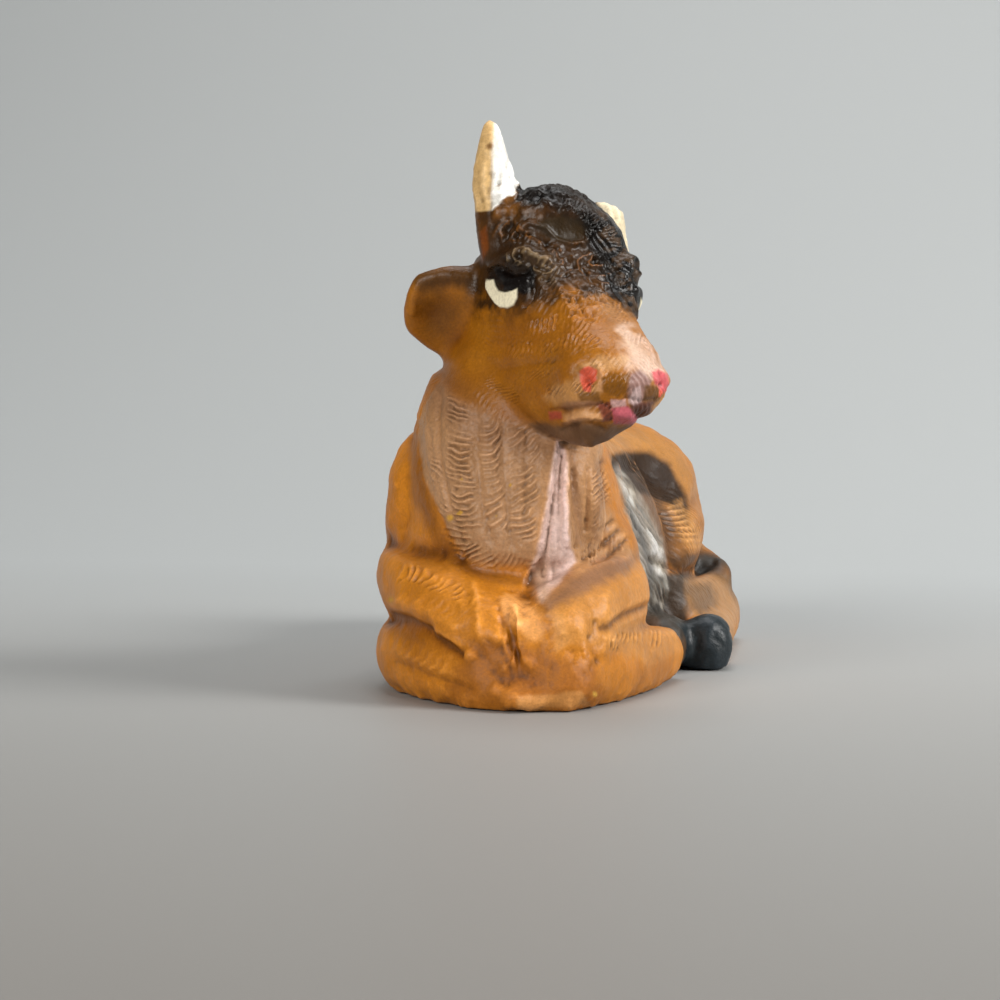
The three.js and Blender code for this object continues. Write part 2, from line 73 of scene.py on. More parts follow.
def smoothstep(low: float, high: float, value: Array) -> Array:
    """Fades from 0 at low to 1 at high."""
    t = np.clip((value - low) / (high - low), 0.0, 1.0)
    return t * t * (3.0 - 2.0 * t)


def linear(red: int, green: int, blue: int) -> Colour:
    """Turns a display colour of 0 to 255 into the linear colour that a shader reads."""
    shares = (red / 255.0, green / 255.0, blue / 255.0)
    return tuple(s / 12.92 if s <= 0.04045 else ((s + 0.055) / 1.055) ** 2.4 for s in shares)


def trace(text: str) -> Path:
    """Reads the corners of a line from a list of pairs of numbers."""
    numbers = [float(word) for word in text.replace(",", " ").split()]
    return tuple(zip(numbers[::2], numbers[1::2]))


def scatter(mix: Array) -> Array:
    """Turns whole numbers into evenly scattered numbers from 0 to 1.

    Args:
        mix: Whole numbers.

    Returns:
        One number for each of them.
    """
    mix = (mix ^ (mix >> np.uint32(15))) * np.uint32(2246822519)
    mix = (mix ^ (mix >> np.uint32(13))) * np.uint32(3266489917)
    return (mix >> np.uint32(8)).astype(np.float32) / float(1 << 24)


def noise(points: Array, size: float, seed: int, octaves: int = 1, mask: Array | None = None) -> Array:
    """Smooth noise from -1 to 1.

    Args:
        points: Places, in rows of one to three.
        size: The width of its largest grains.
        seed: Which of many patterns to read.
        octaves: How many times half as large grains are added at half the strength.
        mask: Where the noise is wanted; it is 0 where the mask is nearly 0.

    Returns:
        One number for each place.
    """
    if mask is not None:
        near = np.where(mask > 0.01)[0]
        result = np.zeros(len(points), dtype=np.float32)
        result[near] = noise(points[near], size, seed, octaves)
        return result
    total = np.zeros(len(points), dtype=np.float32)
    norm = 0.0
    for octave in range(octaves):
        spots = (points * (2**octave / size) + 31.7 * (seed + octave)).astype(np.float32)
        base = np.floor(spots)
        part = spots - base
        part = part * part * (3.0 - 2.0 * part)
        cells = base.astype(np.int32).astype(np.uint32)
        axes = range(cells.shape[1])
        rows = [[(cells[:, k] + np.uint32(bit)) * np.uint32(PRIMES[k]) for bit in (0, 1)] for k in axes]
        shares = [(1.0 - part[:, k], part[:, k]) for k in axes]
        value = np.zeros(len(points), dtype=np.float32)
        for corner in range(2 ** len(axes)):
            mix = np.uint32((seed + octave) * SEED_STEP + SEED_START)
            share = np.float32(1.0)
            for k in axes:
                mix = mix ^ rows[k][(corner >> k) & 1]
                share = share * shares[k][(corner >> k) & 1]
            value += share * scatter(mix)
        total += 0.5**octave * (2.0 * value - 1.0)
        norm += 0.5**octave
    return total / norm


def lattice(cells: Array, seed: int) -> Array:
    """Gives each whole number its own number from 0 to 1."""
    return scatter(cells.astype(np.int64).astype(np.uint32) * np.uint32(PRIMES[0]) ^ np.uint32(seed * SEED_STEP))


def worms(
    points: Array,
    mask: Array,
    seed: int,
    bend: float,
    width: float,
    grain: float,
    sharp: float = 2.6,
    flat: float = 1.0,
) -> Array:
    """Winding ridges, as of curly hair.

    Args:
        points: Places, in rows of three.
        mask: Where they are wanted.
        seed: The first of the four patterns that are read.
        bend: How far they wind.
        width: The width of their bends.
        grain: The distance from ridge to ridge.
        sharp: How narrow the ridges are.
        flat: How much the last axis is drawn in.

    Returns:
        1 on a ridge, and less beside it.
    """
    bent = points + bend * np.stack([noise(points, width, seed + k, 2, mask) for k in range(3)], 1)
    return 1.0 - sharp * np.abs(noise(bent * [1.0, 1.0, flat], grain, seed + 3, 2, mask))


def path_offset(spots: Array, path: Path) -> tuple[Array, Array, Array]:
    """Measures places against an open line.

    Args:
        spots: Places, in rows of two.
        path: The corners of the line.

    Returns:
        The distance to the line, the side (1 on its right hand, which is the left of the view for a line that
        runs down it, and -1 on its left hand), and the length along it up to the nearest point.
    """
    best = np.full(spots.shape[0], 1e9)
    spots = spots.astype(np.float32)
    side = np.zeros(spots.shape[0])
    along = np.zeros(spots.shape[0])
    done = 0.0
    corners = np.asarray(path, dtype=float)
    if len(corners) == 1:
        return np.linalg.norm(spots - corners[0], axis=1), side, along
    for a, b in zip(corners[:-1], corners[1:]):
        course = b - a
        length = float(np.hypot(*course))
        rel = spots - a
        t = np.clip((rel @ course) / length**2, 0.0, 1.0)
        gap = np.hypot(rel[:, 0] - t * course[0], rel[:, 1] - t * course[1])
        near = gap < best
        best = np.where(near, gap, best)
        side = np.where(near, np.sign(course[0] * rel[:, 1] - course[1] * rel[:, 0]), side)
        along = np.where(near, done + t * length, along)
        done += length
    return best, side, along


def depth_inside(spots: Array, outline: Path) -> Array:
    """Gives how far each place lies inside a closed outline, negative outside.

    Args:
        spots: Places, in rows of two.
        outline: The corners of the outline.

    Returns:
        One signed distance for each place.
    """
    closed = outline + (outline[0],)
    distance = path_offset(spots, closed)[0]
    inside = np.zeros(spots.shape[0], dtype=bool)
    x, y = spots[:, 0], spots[:, 1]
    for (x0, y0), (x1, y1) in zip(closed[:-1], closed[1:]):
        if y0 == y1:
            continue
        crosses = (y0 > y) != (y1 > y)
        inside ^= crosses & (x < (x1 - x0) * (y - y0) / (y1 - y0) + x0)
    return np.where(inside, distance, -distance)


def read(data: bpy.types.bpy_prop_collection, key: str, width: int = 1, kind: type = np.float32) -> Array:
    """Reads one value of each member of a mesh's list.

    Args:
        data: The list.
        key: The name of the value.
        width: How many numbers it has.
        kind: What numbers they are.

    Returns:
        The values, in rows where each has more than one number.
    """
    flat = np.empty(len(data) * width, dtype=kind)
    data.foreach_get(key, flat)
    return flat.reshape(-1, width) if width > 1 else flat


def select_only(*objects: bpy.types.Object) -> None:
    """Selects these objects and nothing else, and makes the first one active."""
    bpy.ops.object.select_all(action="DESELECT")
    for one in objects:
        one.select_set(True)
    bpy.context.view_layer.objects.active = objects[0]


def apply_all(obj: bpy.types.Object) -> None:
    """Applies all modifiers of an object."""
    select_only(obj)
    for modifier in list(obj.modifiers):
        bpy.ops.object.modifier_apply(modifier=modifier.name)


def edit_chosen(obj: bpy.types.Object, kind: str, chosen: Array) -> None:
    """Opens an object in edit mode with some of its points or faces selected.

    Args:
        obj: The object.
        kind: Either vertices or polygons.
        chosen: Which of them are selected.
    """
    select_only(obj)
    for name in ("vertices", "edges", "polygons"):
        members = getattr(obj.data, name)
        members.foreach_set("select", chosen if name == kind else np.zeros(len(members), dtype=bool))
    bpy.ops.object.mode_set(mode="EDIT")
    bpy.context.tool_settings.mesh_select_mode = (kind == "vertices", False, kind == "polygons")


# Frames of reference


@dataclass(frozen=True)
class FrontView:
    """The fixed place from which marks and paint edges are laid out.

    A place on it is given in thousandths of its width, from its left and upper edge.
    """

    place: tuple[float, float, float] = (54.0, -290.0, 32.6)
    azimuth_deg: float = 12.0
    horizon: float = 400.0
    focal: float = 2400.0
    width: float = 1000.0

    @property
    def nod(self) -> float:
        """How far the view looks down, in radians."""
        return math.atan((self.width / 2 - self.horizon) / self.focal)

    def axes(self) -> tuple[Array, Array, Array]:
        """The view's right, upward and forward directions."""
        turn = math.radians(self.azimuth_deg)
        level = np.array([-math.sin(turn), math.cos(turn), 0.0])
        right = np.array([math.cos(turn), math.sin(turn), 0.0])
        ahead = level * math.cos(self.nod) - np.array([0.0, 0.0, math.sin(self.nod)])
        return right, np.cross(right, ahead), ahead

    def lay_out(self, points: Array) -> Array:
        """Gives the place of each point in the view.

        Args:
            points: Points of the figure.

        Returns:
            Their places, in rows of two.
        """
        right, up, ahead = self.axes()
        rel = points - np.array(self.place)
        depth = rel @ ahead
        middle = self.width / 2
        return np.stack([middle + self.focal * (rel @ right) / depth, middle - self.focal * (rel @ up) / depth], 1)

    def facing(self, points: Array, normals: Array) -> Array:
        """Gives how squarely each surface looks at the view, from -1 to 1.

        Args:
            points: Points of the figure.
            normals: The courses of its surface there.

        Returns:
            One number for each point.
        """
        rel = np.array(self.place) - points
        rel /= np.linalg.norm(rel, axis=1, keepdims=True)
        return np.einsum("ij,ij->i", rel, normals)


@dataclass(frozen=True)
class HeadFrame:
    """The head's own frame: x to its left, y backwards and z up from the point between its eyes."""

    origin: tuple[float, float, float] = (6.5, -32.0, 42.4)
    turn_deg: float = 31.8
    nod_deg: float = 31.9
    lean_deg: float = 4.0

    def matrix(self) -> Array:
        """The head's axes, as columns."""
        t, n, w = (math.radians(v) for v in (self.turn_deg, self.nod_deg, self.lean_deg))
        about_z = np.array([[math.cos(t), -math.sin(t), 0], [math.sin(t), math.cos(t), 0], [0, 0, 1]])
        about_x = np.array([[1, 0, 0], [0, math.cos(n), -math.sin(n)], [0, math.sin(n), math.cos(n)]])
        about_y = np.array([[math.cos(w), 0, math.sin(w)], [0, 1, 0], [-math.sin(w), 0, math.cos(w)]])
        return about_z @ about_x @ about_y

    def inward(self, points: Array) -> Array:
        """Gives points of the figure in the head's frame."""
        return (points - np.array(self.origin)) @ self.matrix()

    def outward(self, points: Array) -> Array:
        """Gives points of the head's frame in the figure's."""
        return points @ self.matrix().T + np.array(self.origin)

    def to_right(self, points: Array, normals: Array) -> tuple[Array, Array]:
        """Mirrors what lies on the head's left side onto its right side.

        Args:
            points: Points of the figure.
            normals: The courses of its surface there.

        Returns:
            Both as they lie on the right side.
        """
        own = self.inward(points)
        left = own[:, 0] > 0
        own[:, 0] = -np.abs(own[:, 0])
        course = normals @ self.matrix()
        course[:, 0] = np.where(left, -course[:, 0], course[:, 0])
        return self.outward(own), course @ self.matrix().T


class Ground(Enum):
    """The part of the figure that a mark or a colour is laid on."""

    CHEEKS = "both sides of the head"
    HEAD = "the head as seen from the front"
    FRONT = "neck, chest and forelegs as seen from the front"
    REAR = "belly, hind legs and rump as seen from the front"
    FLANKS = "both sides of the trunk behind the shoulders"


CHEEKS, HEAD, FRONT, REAR, FLANKS = Ground


@dataclass(frozen=True)
class Touch:
    """One touch of the modelling tool along a line of the front view: its reach there and its rise in millimetres."""

    path: Path
    reach: float
    rise: float
    ground: Ground = FRONT


@dataclass(frozen=True)
class Nudge:
    """A push of the soft mass sideways in the front view, along a line of it and by a part of it."""

    path: Path
    reach: float
    shift: tuple[float, float]
    ground: Ground = FRONT


@dataclass(frozen=True)
class Squeeze:
    """A push of the soft mass round a place of the figure, in millimetres."""

    place: tuple[float, float, float]
    reach: tuple[float, float, float]
    shift: tuple[float, float, float]


@dataclass(frozen=True)
class Comb:
    """A row of short strokes side by side along a line of the front view.

    Attributes:
        path: The middle of the row.
        half_width: Half the length of its strokes.
        spacing: The distance from stroke to stroke.
        lean: How far a stroke slants along the row for each step to the left hand of its course.
        bow: How far the ends of a stroke trail behind its middle.
        rise: The height of a stroke, in millimetres.
        ground: What it is laid on.
    """

    path: Path
    half_width: float
    spacing: float
    lean: float
    bow: float
    rise: float
    ground: Ground = FRONT


# The skin


@dataclass
class Blank:
    """All pressed pieces fused into one soft skin, before its surface is worked."""

    inner: tuple[str, ...] = ("neck_wire", "horn_pin_left", "horn_pin_right")
    seam_fill: float = 0.24
    settle: float = 0.02
    coarse_grain: float = 0.5
    fine_grain: float = 0.235
    quick_grain: float = 0.36
    coarse_passes: int = 8
    fine_passes: int = 14

    @staticmethod
    def copy_of(name: str, node: bpy.types.Object) -> bpy.types.Object:
        """Copies a node, merges its loose triangles and turns its metres into millimetres.

        Args:
            name: The name of the copy.
            node: The node.

        Returns:
            The copy.
        """
        twin = bpy.data.objects.new(name, node.data.copy())
        bpy.context.scene.collection.objects.link(twin)
        twin.data.materials.clear()
        select_only(twin)
        bpy.ops.object.mode_set(mode="EDIT")
        bpy.ops.mesh.select_all(action="SELECT")
        bpy.ops.mesh.remove_doubles(threshold=1e-7)
        bpy.ops.transform.resize(value=(1 / MM, 1 / MM, 1 / MM), center_override=(0.0, 0.0, 0.0))
        bpy.ops.object.mode_set(mode="OBJECT")
        return twin

    @staticmethod
    def swell(obj: bpy.types.Object, amount: float) -> None:
        """Moves all of a mesh out along its normals.

        Args:
            obj: The object.
            amount: How far.
        """
        mesh = obj.data
        points = read(mesh.vertices, "co", 3) + amount * read(mesh.vertex_normals, "vector", 3)
        mesh.vertices.foreach_set("co", points.ravel())
        mesh.update()

    @staticmethod
    def regrain(obj: bpy.types.Object, grain: float) -> None:
        """Gives a closed mesh an even grain.

        Args:
            obj: The object.
            grain: The width of its faces.
        """
        modifier = obj.modifiers.new("grain", "REMESH")
        modifier.mode = "VOXEL"
        modifier.voxel_size = grain
        modifier.use_smooth_shade = True
        apply_all(obj)

    def fuse(self, nodes: dict[str, bpy.types.Object]) -> bpy.types.Object:
        """Joins copies of all nodes and gives the sum an even fine grain.

        Args:
            nodes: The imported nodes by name.

        Returns:
            The fused skin, in millimetres.
        """
        copies = [self.copy_of("blank_" + name, node) for name, node in nodes.items()]
        select_only(*copies)
        bpy.ops.object.join()
        blank = bpy.context.view_layer.objects.active
        blank.name = "blank"
        self.swell(blank, self.seam_fill)
        self.regrain(blank, self.coarse_grain)
        coarse = Skin(blank)
        coarse.soften(self.coarse_passes)
        coarse.store()
        self.swell(blank, self.settle)
        self.regrain(blank, self.fine_grain)
        return blank

    def refine(self, blank: bpy.types.Object, chosen: Array) -> None:
        """Halves the grain of the faces between the chosen points.

        Args:
            blank: The fused skin.
            chosen: Which points are chosen.
        """
        mesh = blank.data
        starts = read(mesh.polygons, "loop_start", kind=np.int32)
        corners = read(mesh.loops, "vertex_index", kind=np.int32)
        edit_chosen(blank, "polygons", np.logical_and.reduceat(chosen[corners], starts))
        bpy.ops.mesh.subdivide(number_cuts=1)
        bpy.ops.object.mode_set(mode="OBJECT")


class Skin:
    """The points of a mesh, with the means to soften and push them."""

    def __init__(self, obj: bpy.types.Object) -> None:
        """Reads the mesh of an object."""
        self.obj = obj
        self.points = read(obj.data.vertices, "co", 3).astype(np.float64)
        self.edges = read(obj.data.edges, "vertices", 2, np.int32)
        self.degree = np.bincount(self.edges.ravel(), minlength=len(self.points)).astype(float)
        self.normals = self.read_normals()

    def read_normals(self) -> Array:
        """Reads the normals of the mesh as it is stored."""
        return read(self.obj.data.vertex_normals, "vector", 3).astype(np.float64)

    def store(self) -> None:
        """Writes the points back and reads the new normals."""
        self.obj.data.vertices.foreach_set("co", self.points.astype(np.float32).ravel())
        self.obj.data.update()
        self.normals = self.read_normals()

    def mean_of_neighbours(self, values: Array) -> Array:
        """Gives each point the mean of a value over its neighbours.

        Args:
            values: One value for each point.

        Returns:
            The means.
        """
        first, second = self.edges[:, 0], self.edges[:, 1]
        count = len(self.points)
        total = np.bincount(first, weights=values[second], minlength=count)
        total += np.bincount(second, weights=values[first], minlength=count)
        return total / self.degree

    def soften(self, passes: int, weight: Array | float = 0.5) -> None:
        """Evens the skin out.

        Args:
            passes: How many times each point moves towards its neighbours.
            weight: What share of the way it moves, for all or for each point.
        """
        for _ in range(passes):
            mean = np.stack([self.mean_of_neighbours(self.points[:, k]) for k in range(3)], 1)
            share = weight if np.isscalar(weight) else weight[:, None]
            self.points += share * (mean - self.points)

    def blur(self, values: Array, passes: int) -> Array:
        """Evens a value out over the skin."""
        for _ in range(passes):
            values = 0.5 * values + 0.5 * self.mean_of_neighbours(values)
        return values

    def push(self, rise: Array) -> None:
        """Moves each point along its normal and stores the mesh."""
        self.points += rise[:, None] * self.normals
        self.store()


# Where things are on the figure


@dataclass
class Chart:
    """The places of the skin's points in the frames that marks and paint are laid out in."""

    view: FrontView
    head: HeadFrame
    points: Array
    normals: Array
    jaw_line: Path = trace("-30 -7, -18 -8.3, -10 -9.9, -4 -10.6, 2 -12, 9 -13.8, 30 -16")
    neck_axis: tuple[float, float] = (-0.5, -25.0)
    neck_turn_deg: float = 26.0
    crease: Path = trace("-180 35, -130 33, -105 30, -90 27.5, -74 24.1, -60 21.5, -52 18.8, -45 16.8, -37 15.3, "
        "-28 14.6, -10 14.4, 0 13.6, 21 14.2, 45 16, 65 20, 90 26, 130 33, 180 35")
    middle: float = -14.0

    def __post_init__(self) -> None:
        """Works out each frame once."""
        self.spots = self.view.lay_out(self.points)
        self.facing = self.view.facing(self.points, self.normals)
        self.own = self.head.inward(self.points)
        mirrored, courses = self.head.to_right(self.points, self.normals)
        self.cheek_spots = self.view.lay_out(mirrored)
        self.cheek_facing = self.view.facing(mirrored, courses)
        left, turned = self.points.copy(), self.normals.copy()
        left[:, 0] = np.abs(left[:, 0])
        turned[:, 0] *= np.where(self.points[:, 0] < 0, -1.0, 1.0)
        self.flank_spots = self.view.lay_out(left)
        self.flank_facing = self.view.facing(left, turned)
        line = np.array(self.jaw_line)
        self.above_jaw = self.own[:, 2] - np.interp(self.own[:, 1], line[:, 0], line[:, 1])
        self.on_head = smoothstep(-0.8, 0.8, self.above_jaw)
        turn = math.radians(self.neck_turn_deg)
        rel = self.points[:, :2] - np.array(self.neck_axis)
        front = rel @ np.array([math.sin(turn), -math.cos(turn)])
        side = rel @ np.array([math.cos(turn), math.sin(turn)])
        self.round_neck = np.degrees(np.arctan2(side, front))
        fold = np.array(self.crease)
        self.above_crease = self.points[:, 2] - np.interp(self.round_neck, fold[:, 0], fold[:, 1])
        near_axis = 1.0 - smoothstep(15.0, 18.0, np.hypot(front, side))
        self.on_neck = smoothstep(-0.7, 0.9, self.above_crease) * near_axis * (1.0 - self.on_head)

    def ground(self, kind: Ground) -> tuple[Array, Array]:
        """Gives the layout places and the mask of a ground.

        Args:
            kind: The ground.

        Returns:
            The place of each point in the layout, and how much it belongs to the ground.
        """
        seen = smoothstep(-0.12, 0.12, self.facing)
        zone = self.zone(kind)
        if kind is CHEEKS:
            return self.cheek_spots, zone * smoothstep(-0.12, 0.12, self.cheek_facing)
        if kind is FLANKS:
            return self.flank_spots, zone * smoothstep(-0.12, 0.12, self.flank_facing)
        return self.spots, zone * seen

    def zone(self, kind: Ground) -> Array:
        """Gives the mask of a ground on all sides of the figure.

        Args:
            kind: The ground.

        Returns:
            How much each point belongs to it.
        """
        front = 1.0 - smoothstep(self.middle - 2.0, self.middle + 2.0, self.points[:, 1])
        if kind in (CHEEKS, HEAD):
            return self.on_head
        if kind is FRONT:
            return (1.0 - self.on_head) * front
        return (1.0 - self.on_head) * (1.0 - front)

    def on_horns(self) -> Array:
        """Gives the mask of both horns."""
        own = self.own
        return smoothstep(4.5, 6.0, np.abs(own[:, 0])) * smoothstep(6.0, 8.0, own[:, 2]) * (own[:, 1] > 3.0)

    @staticmethod
    def beside(spots: Array, path: Path, margin: float, mask: Array, least: float) -> Array:
        """Picks the points round a line, so that no others are worked on.

        Args:
            spots: The place of each point in a layout.
            path: The line or outline.
            margin: How far round it they may lie.
            mask: How much each point belongs to the ground.
            least: The mask that they are above.

        Returns:
            The numbers of the points.
        """
        corners = np.asarray(path)
        low, high = corners.min(0) - margin, corners.max(0) + margin
        return np.where((mask > least) & np.all((spots > low) & (spots < high), axis=1))[0]

    def nudges(self, nudges: tuple[Nudge, ...]) -> Array:
        """Adds up pushes of the mass sideways in the front view.

        Args:
            nudges: The pushes.

        Returns:
            The shift of each point, in millimetres.
        """
        right, up, ahead = self.view.axes()
        depth = (self.points - np.array(self.view.place)) @ ahead
        total = np.zeros_like(self.points)
        for nudge in nudges:
            zone = self.zone(nudge.ground)
            near = self.beside(self.spots, nudge.path, 3 * nudge.reach, zone, 0.0)
            gap = path_offset(self.spots[near], nudge.path)[0]
            share = np.exp(-((gap / nudge.reach) ** 2)) * zone[near] * depth[near] / self.view.focal
            total[near] += share[:, None] * (nudge.shift[0] * right - nudge.shift[1] * up)
        return total

    def squeezes(self, squeezes: tuple[Squeeze, ...]) -> Array:
        """Adds up pushes of the mass round places of the figure.

        Args:
            squeezes: The pushes.

        Returns:
            The shift of each point, in millimetres.
        """
        total = np.zeros_like(self.points)
        for one in squeezes:
            rel = (self.points - np.array(one.place)) / np.array(one.reach)
            total += np.exp(-np.einsum("ij,ij->i", rel, rel))[:, None] * np.array(one.shift)
        return total

    def combs(self, combs: tuple[Comb, ...]) -> Array:
        """Adds up rows of strokes, as uneven as by hand.

        Args:
            combs: The rows.

        Returns:
            The rise of each point, in millimetres.
        """
        total = np.zeros(len(self.points))
        for index, comb in enumerate(combs):
            spots, mask = self.ground(comb.ground)
            corners = np.asarray(comb.path)
            near = self.beside(spots, comb.path, 2 * comb.half_width, mask, 0.02)
            places = spots[near]
            gap, side, along = path_offset(places, comb.path)
            offset = gap * side + 1.8 * noise(places, 15.0, 300 + index, 2)
            share = np.clip(np.abs(offset) / comb.half_width, 0.0, 1.4)
            course = along + comb.lean * offset + comb.bow * share**2
            course += 0.8 * comb.spacing * noise(places, 3.0 * comb.spacing, 340 + index, 3)
            wave = 0.5 + 0.5 * np.cos(2 * math.pi * course / comb.spacing)
            length = float(np.sum(np.hypot(*(corners[1:] - corners[:-1]).T)))
            ends = smoothstep(-0.5, 4.0, along) * smoothstep(-0.5, 4.0, length - along)
            hem = 1.0 - smoothstep(0.62, 1.1, share + 0.25 * noise(places, 1.6 * comb.spacing, 380 + index))
            force = np.clip(0.75 + 1.1 * noise(places, 2.6 * comb.spacing, 420 + index, 2), 0.12, 1.5)
            total[near] += comb.rise * (wave**1.5 - 0.4) * hem * ends * force * mask[near]
        return total

    def rises(self, touches: tuple[Touch, ...]) -> Array:
        """Adds up touches of the modelling tool.

        Args:
            touches: The touches.

        Returns:
            The rise of each point, in millimetres.
        """
        total = np.zeros(len(self.points))
        for touch in touches:
            spots, mask = self.ground(touch.ground)
            near = self.beside(spots, touch.path, 3 * touch.reach, mask, 0.01)
            gap = path_offset(spots[near], touch.path)[0]
            total[near] += touch.rise * np.exp(-((gap / touch.reach) ** 2)) * mask[near]
        return total

    def inside(self, ground: Ground, outline: Path, soft: float) -> Array:
        """Gives a soft mask of what lies inside an outline on a ground.

        Args:
            ground: The ground that it is laid on.
            outline: Its corners.
            soft: The width over which it fades.

        Returns:
            The mask of each point.
        """
        spots, mask = self.ground(ground)
        near = self.beside(spots, outline, 2 * soft, mask, 0.004)
        result = np.zeros(len(self.points))
        result[near] = smoothstep(-soft, soft, depth_inside(spots[near], outline)) * mask[near]
        return result


# Relief


EYE_WHITE: Path = trace("486 281, 494 279.5, 496 286, 499 291, 505 292.5, 512 291, 517.5 288.5, 517.5 298, 514 305, "
    "508 308, 500 307, 495 303, 490 296, 486 288")
EYE_BLACK: Path = trace("487 279, 490 271, 499 267, 507 271, 517 275, 526 272, 532 265, 536 274, 535 286, 531 292, "
    "524 295, 517 292, 511 293, 502 293, 496 288, 493 281")
BROW: Path = trace("502 260, 512 249, 530 246, 550 256, 560 270, 556 284, 540 279, 528 268, 514 264")
FOREHEAD: Path = trace("498 214, 516 222, 540 240, 562 245, 585 246, 604 258, 612 300, 596 322, 572 320, 556 300, "
    "560 272, 538 246, 508 246, 494 236")
BELLY: Path = trace("592 440, 606 452, 640 496, 662 540, 669 585, 662 618, 642 612, 624 560, 607 515, 598 480")
TUFT: Path = trace("508 196, 530 194, 560 200, 585 211, 604 226, 617 246, 627 272, 634 302")
OVAL: Path = trace("536 226, 545 218, 562 214, 580 218, 588 228, 580 241, 564 243, 546 236")


def hair_of(spots: Array, mask: Array) -> tuple[Array, Array]:
    """Fine strands and wider locks of the long belly hair.

    Args:
        spots: Places on the flank, in thousandths of the front view.
        mask: Where the hair is wanted.

    Returns:
        Two waves from 0 to 1, of the strands and of the locks.
    """
    bend = np.stack([noise(spots, 20.0, 91, 2, mask), noise(spots, 20.0, 92, 2, mask)], 1)
    across = (spots + 4.0 * bend) @ np.array([0.87, -0.49])
    along = spots @ np.array([0.49, 0.87])
    twist = noise(np.stack([across, along * 0.25], 1), 3.0, 94, 2, mask)
    strand = 0.5 + 0.5 * np.cos(2 * math.pi * (across / 3.6 + 0.5 * twist))
    lock = 0.5 + 0.5 * noise(np.stack([across, along * 0.22], 1), 5.0, 95, 2, mask)
    return strand, lock


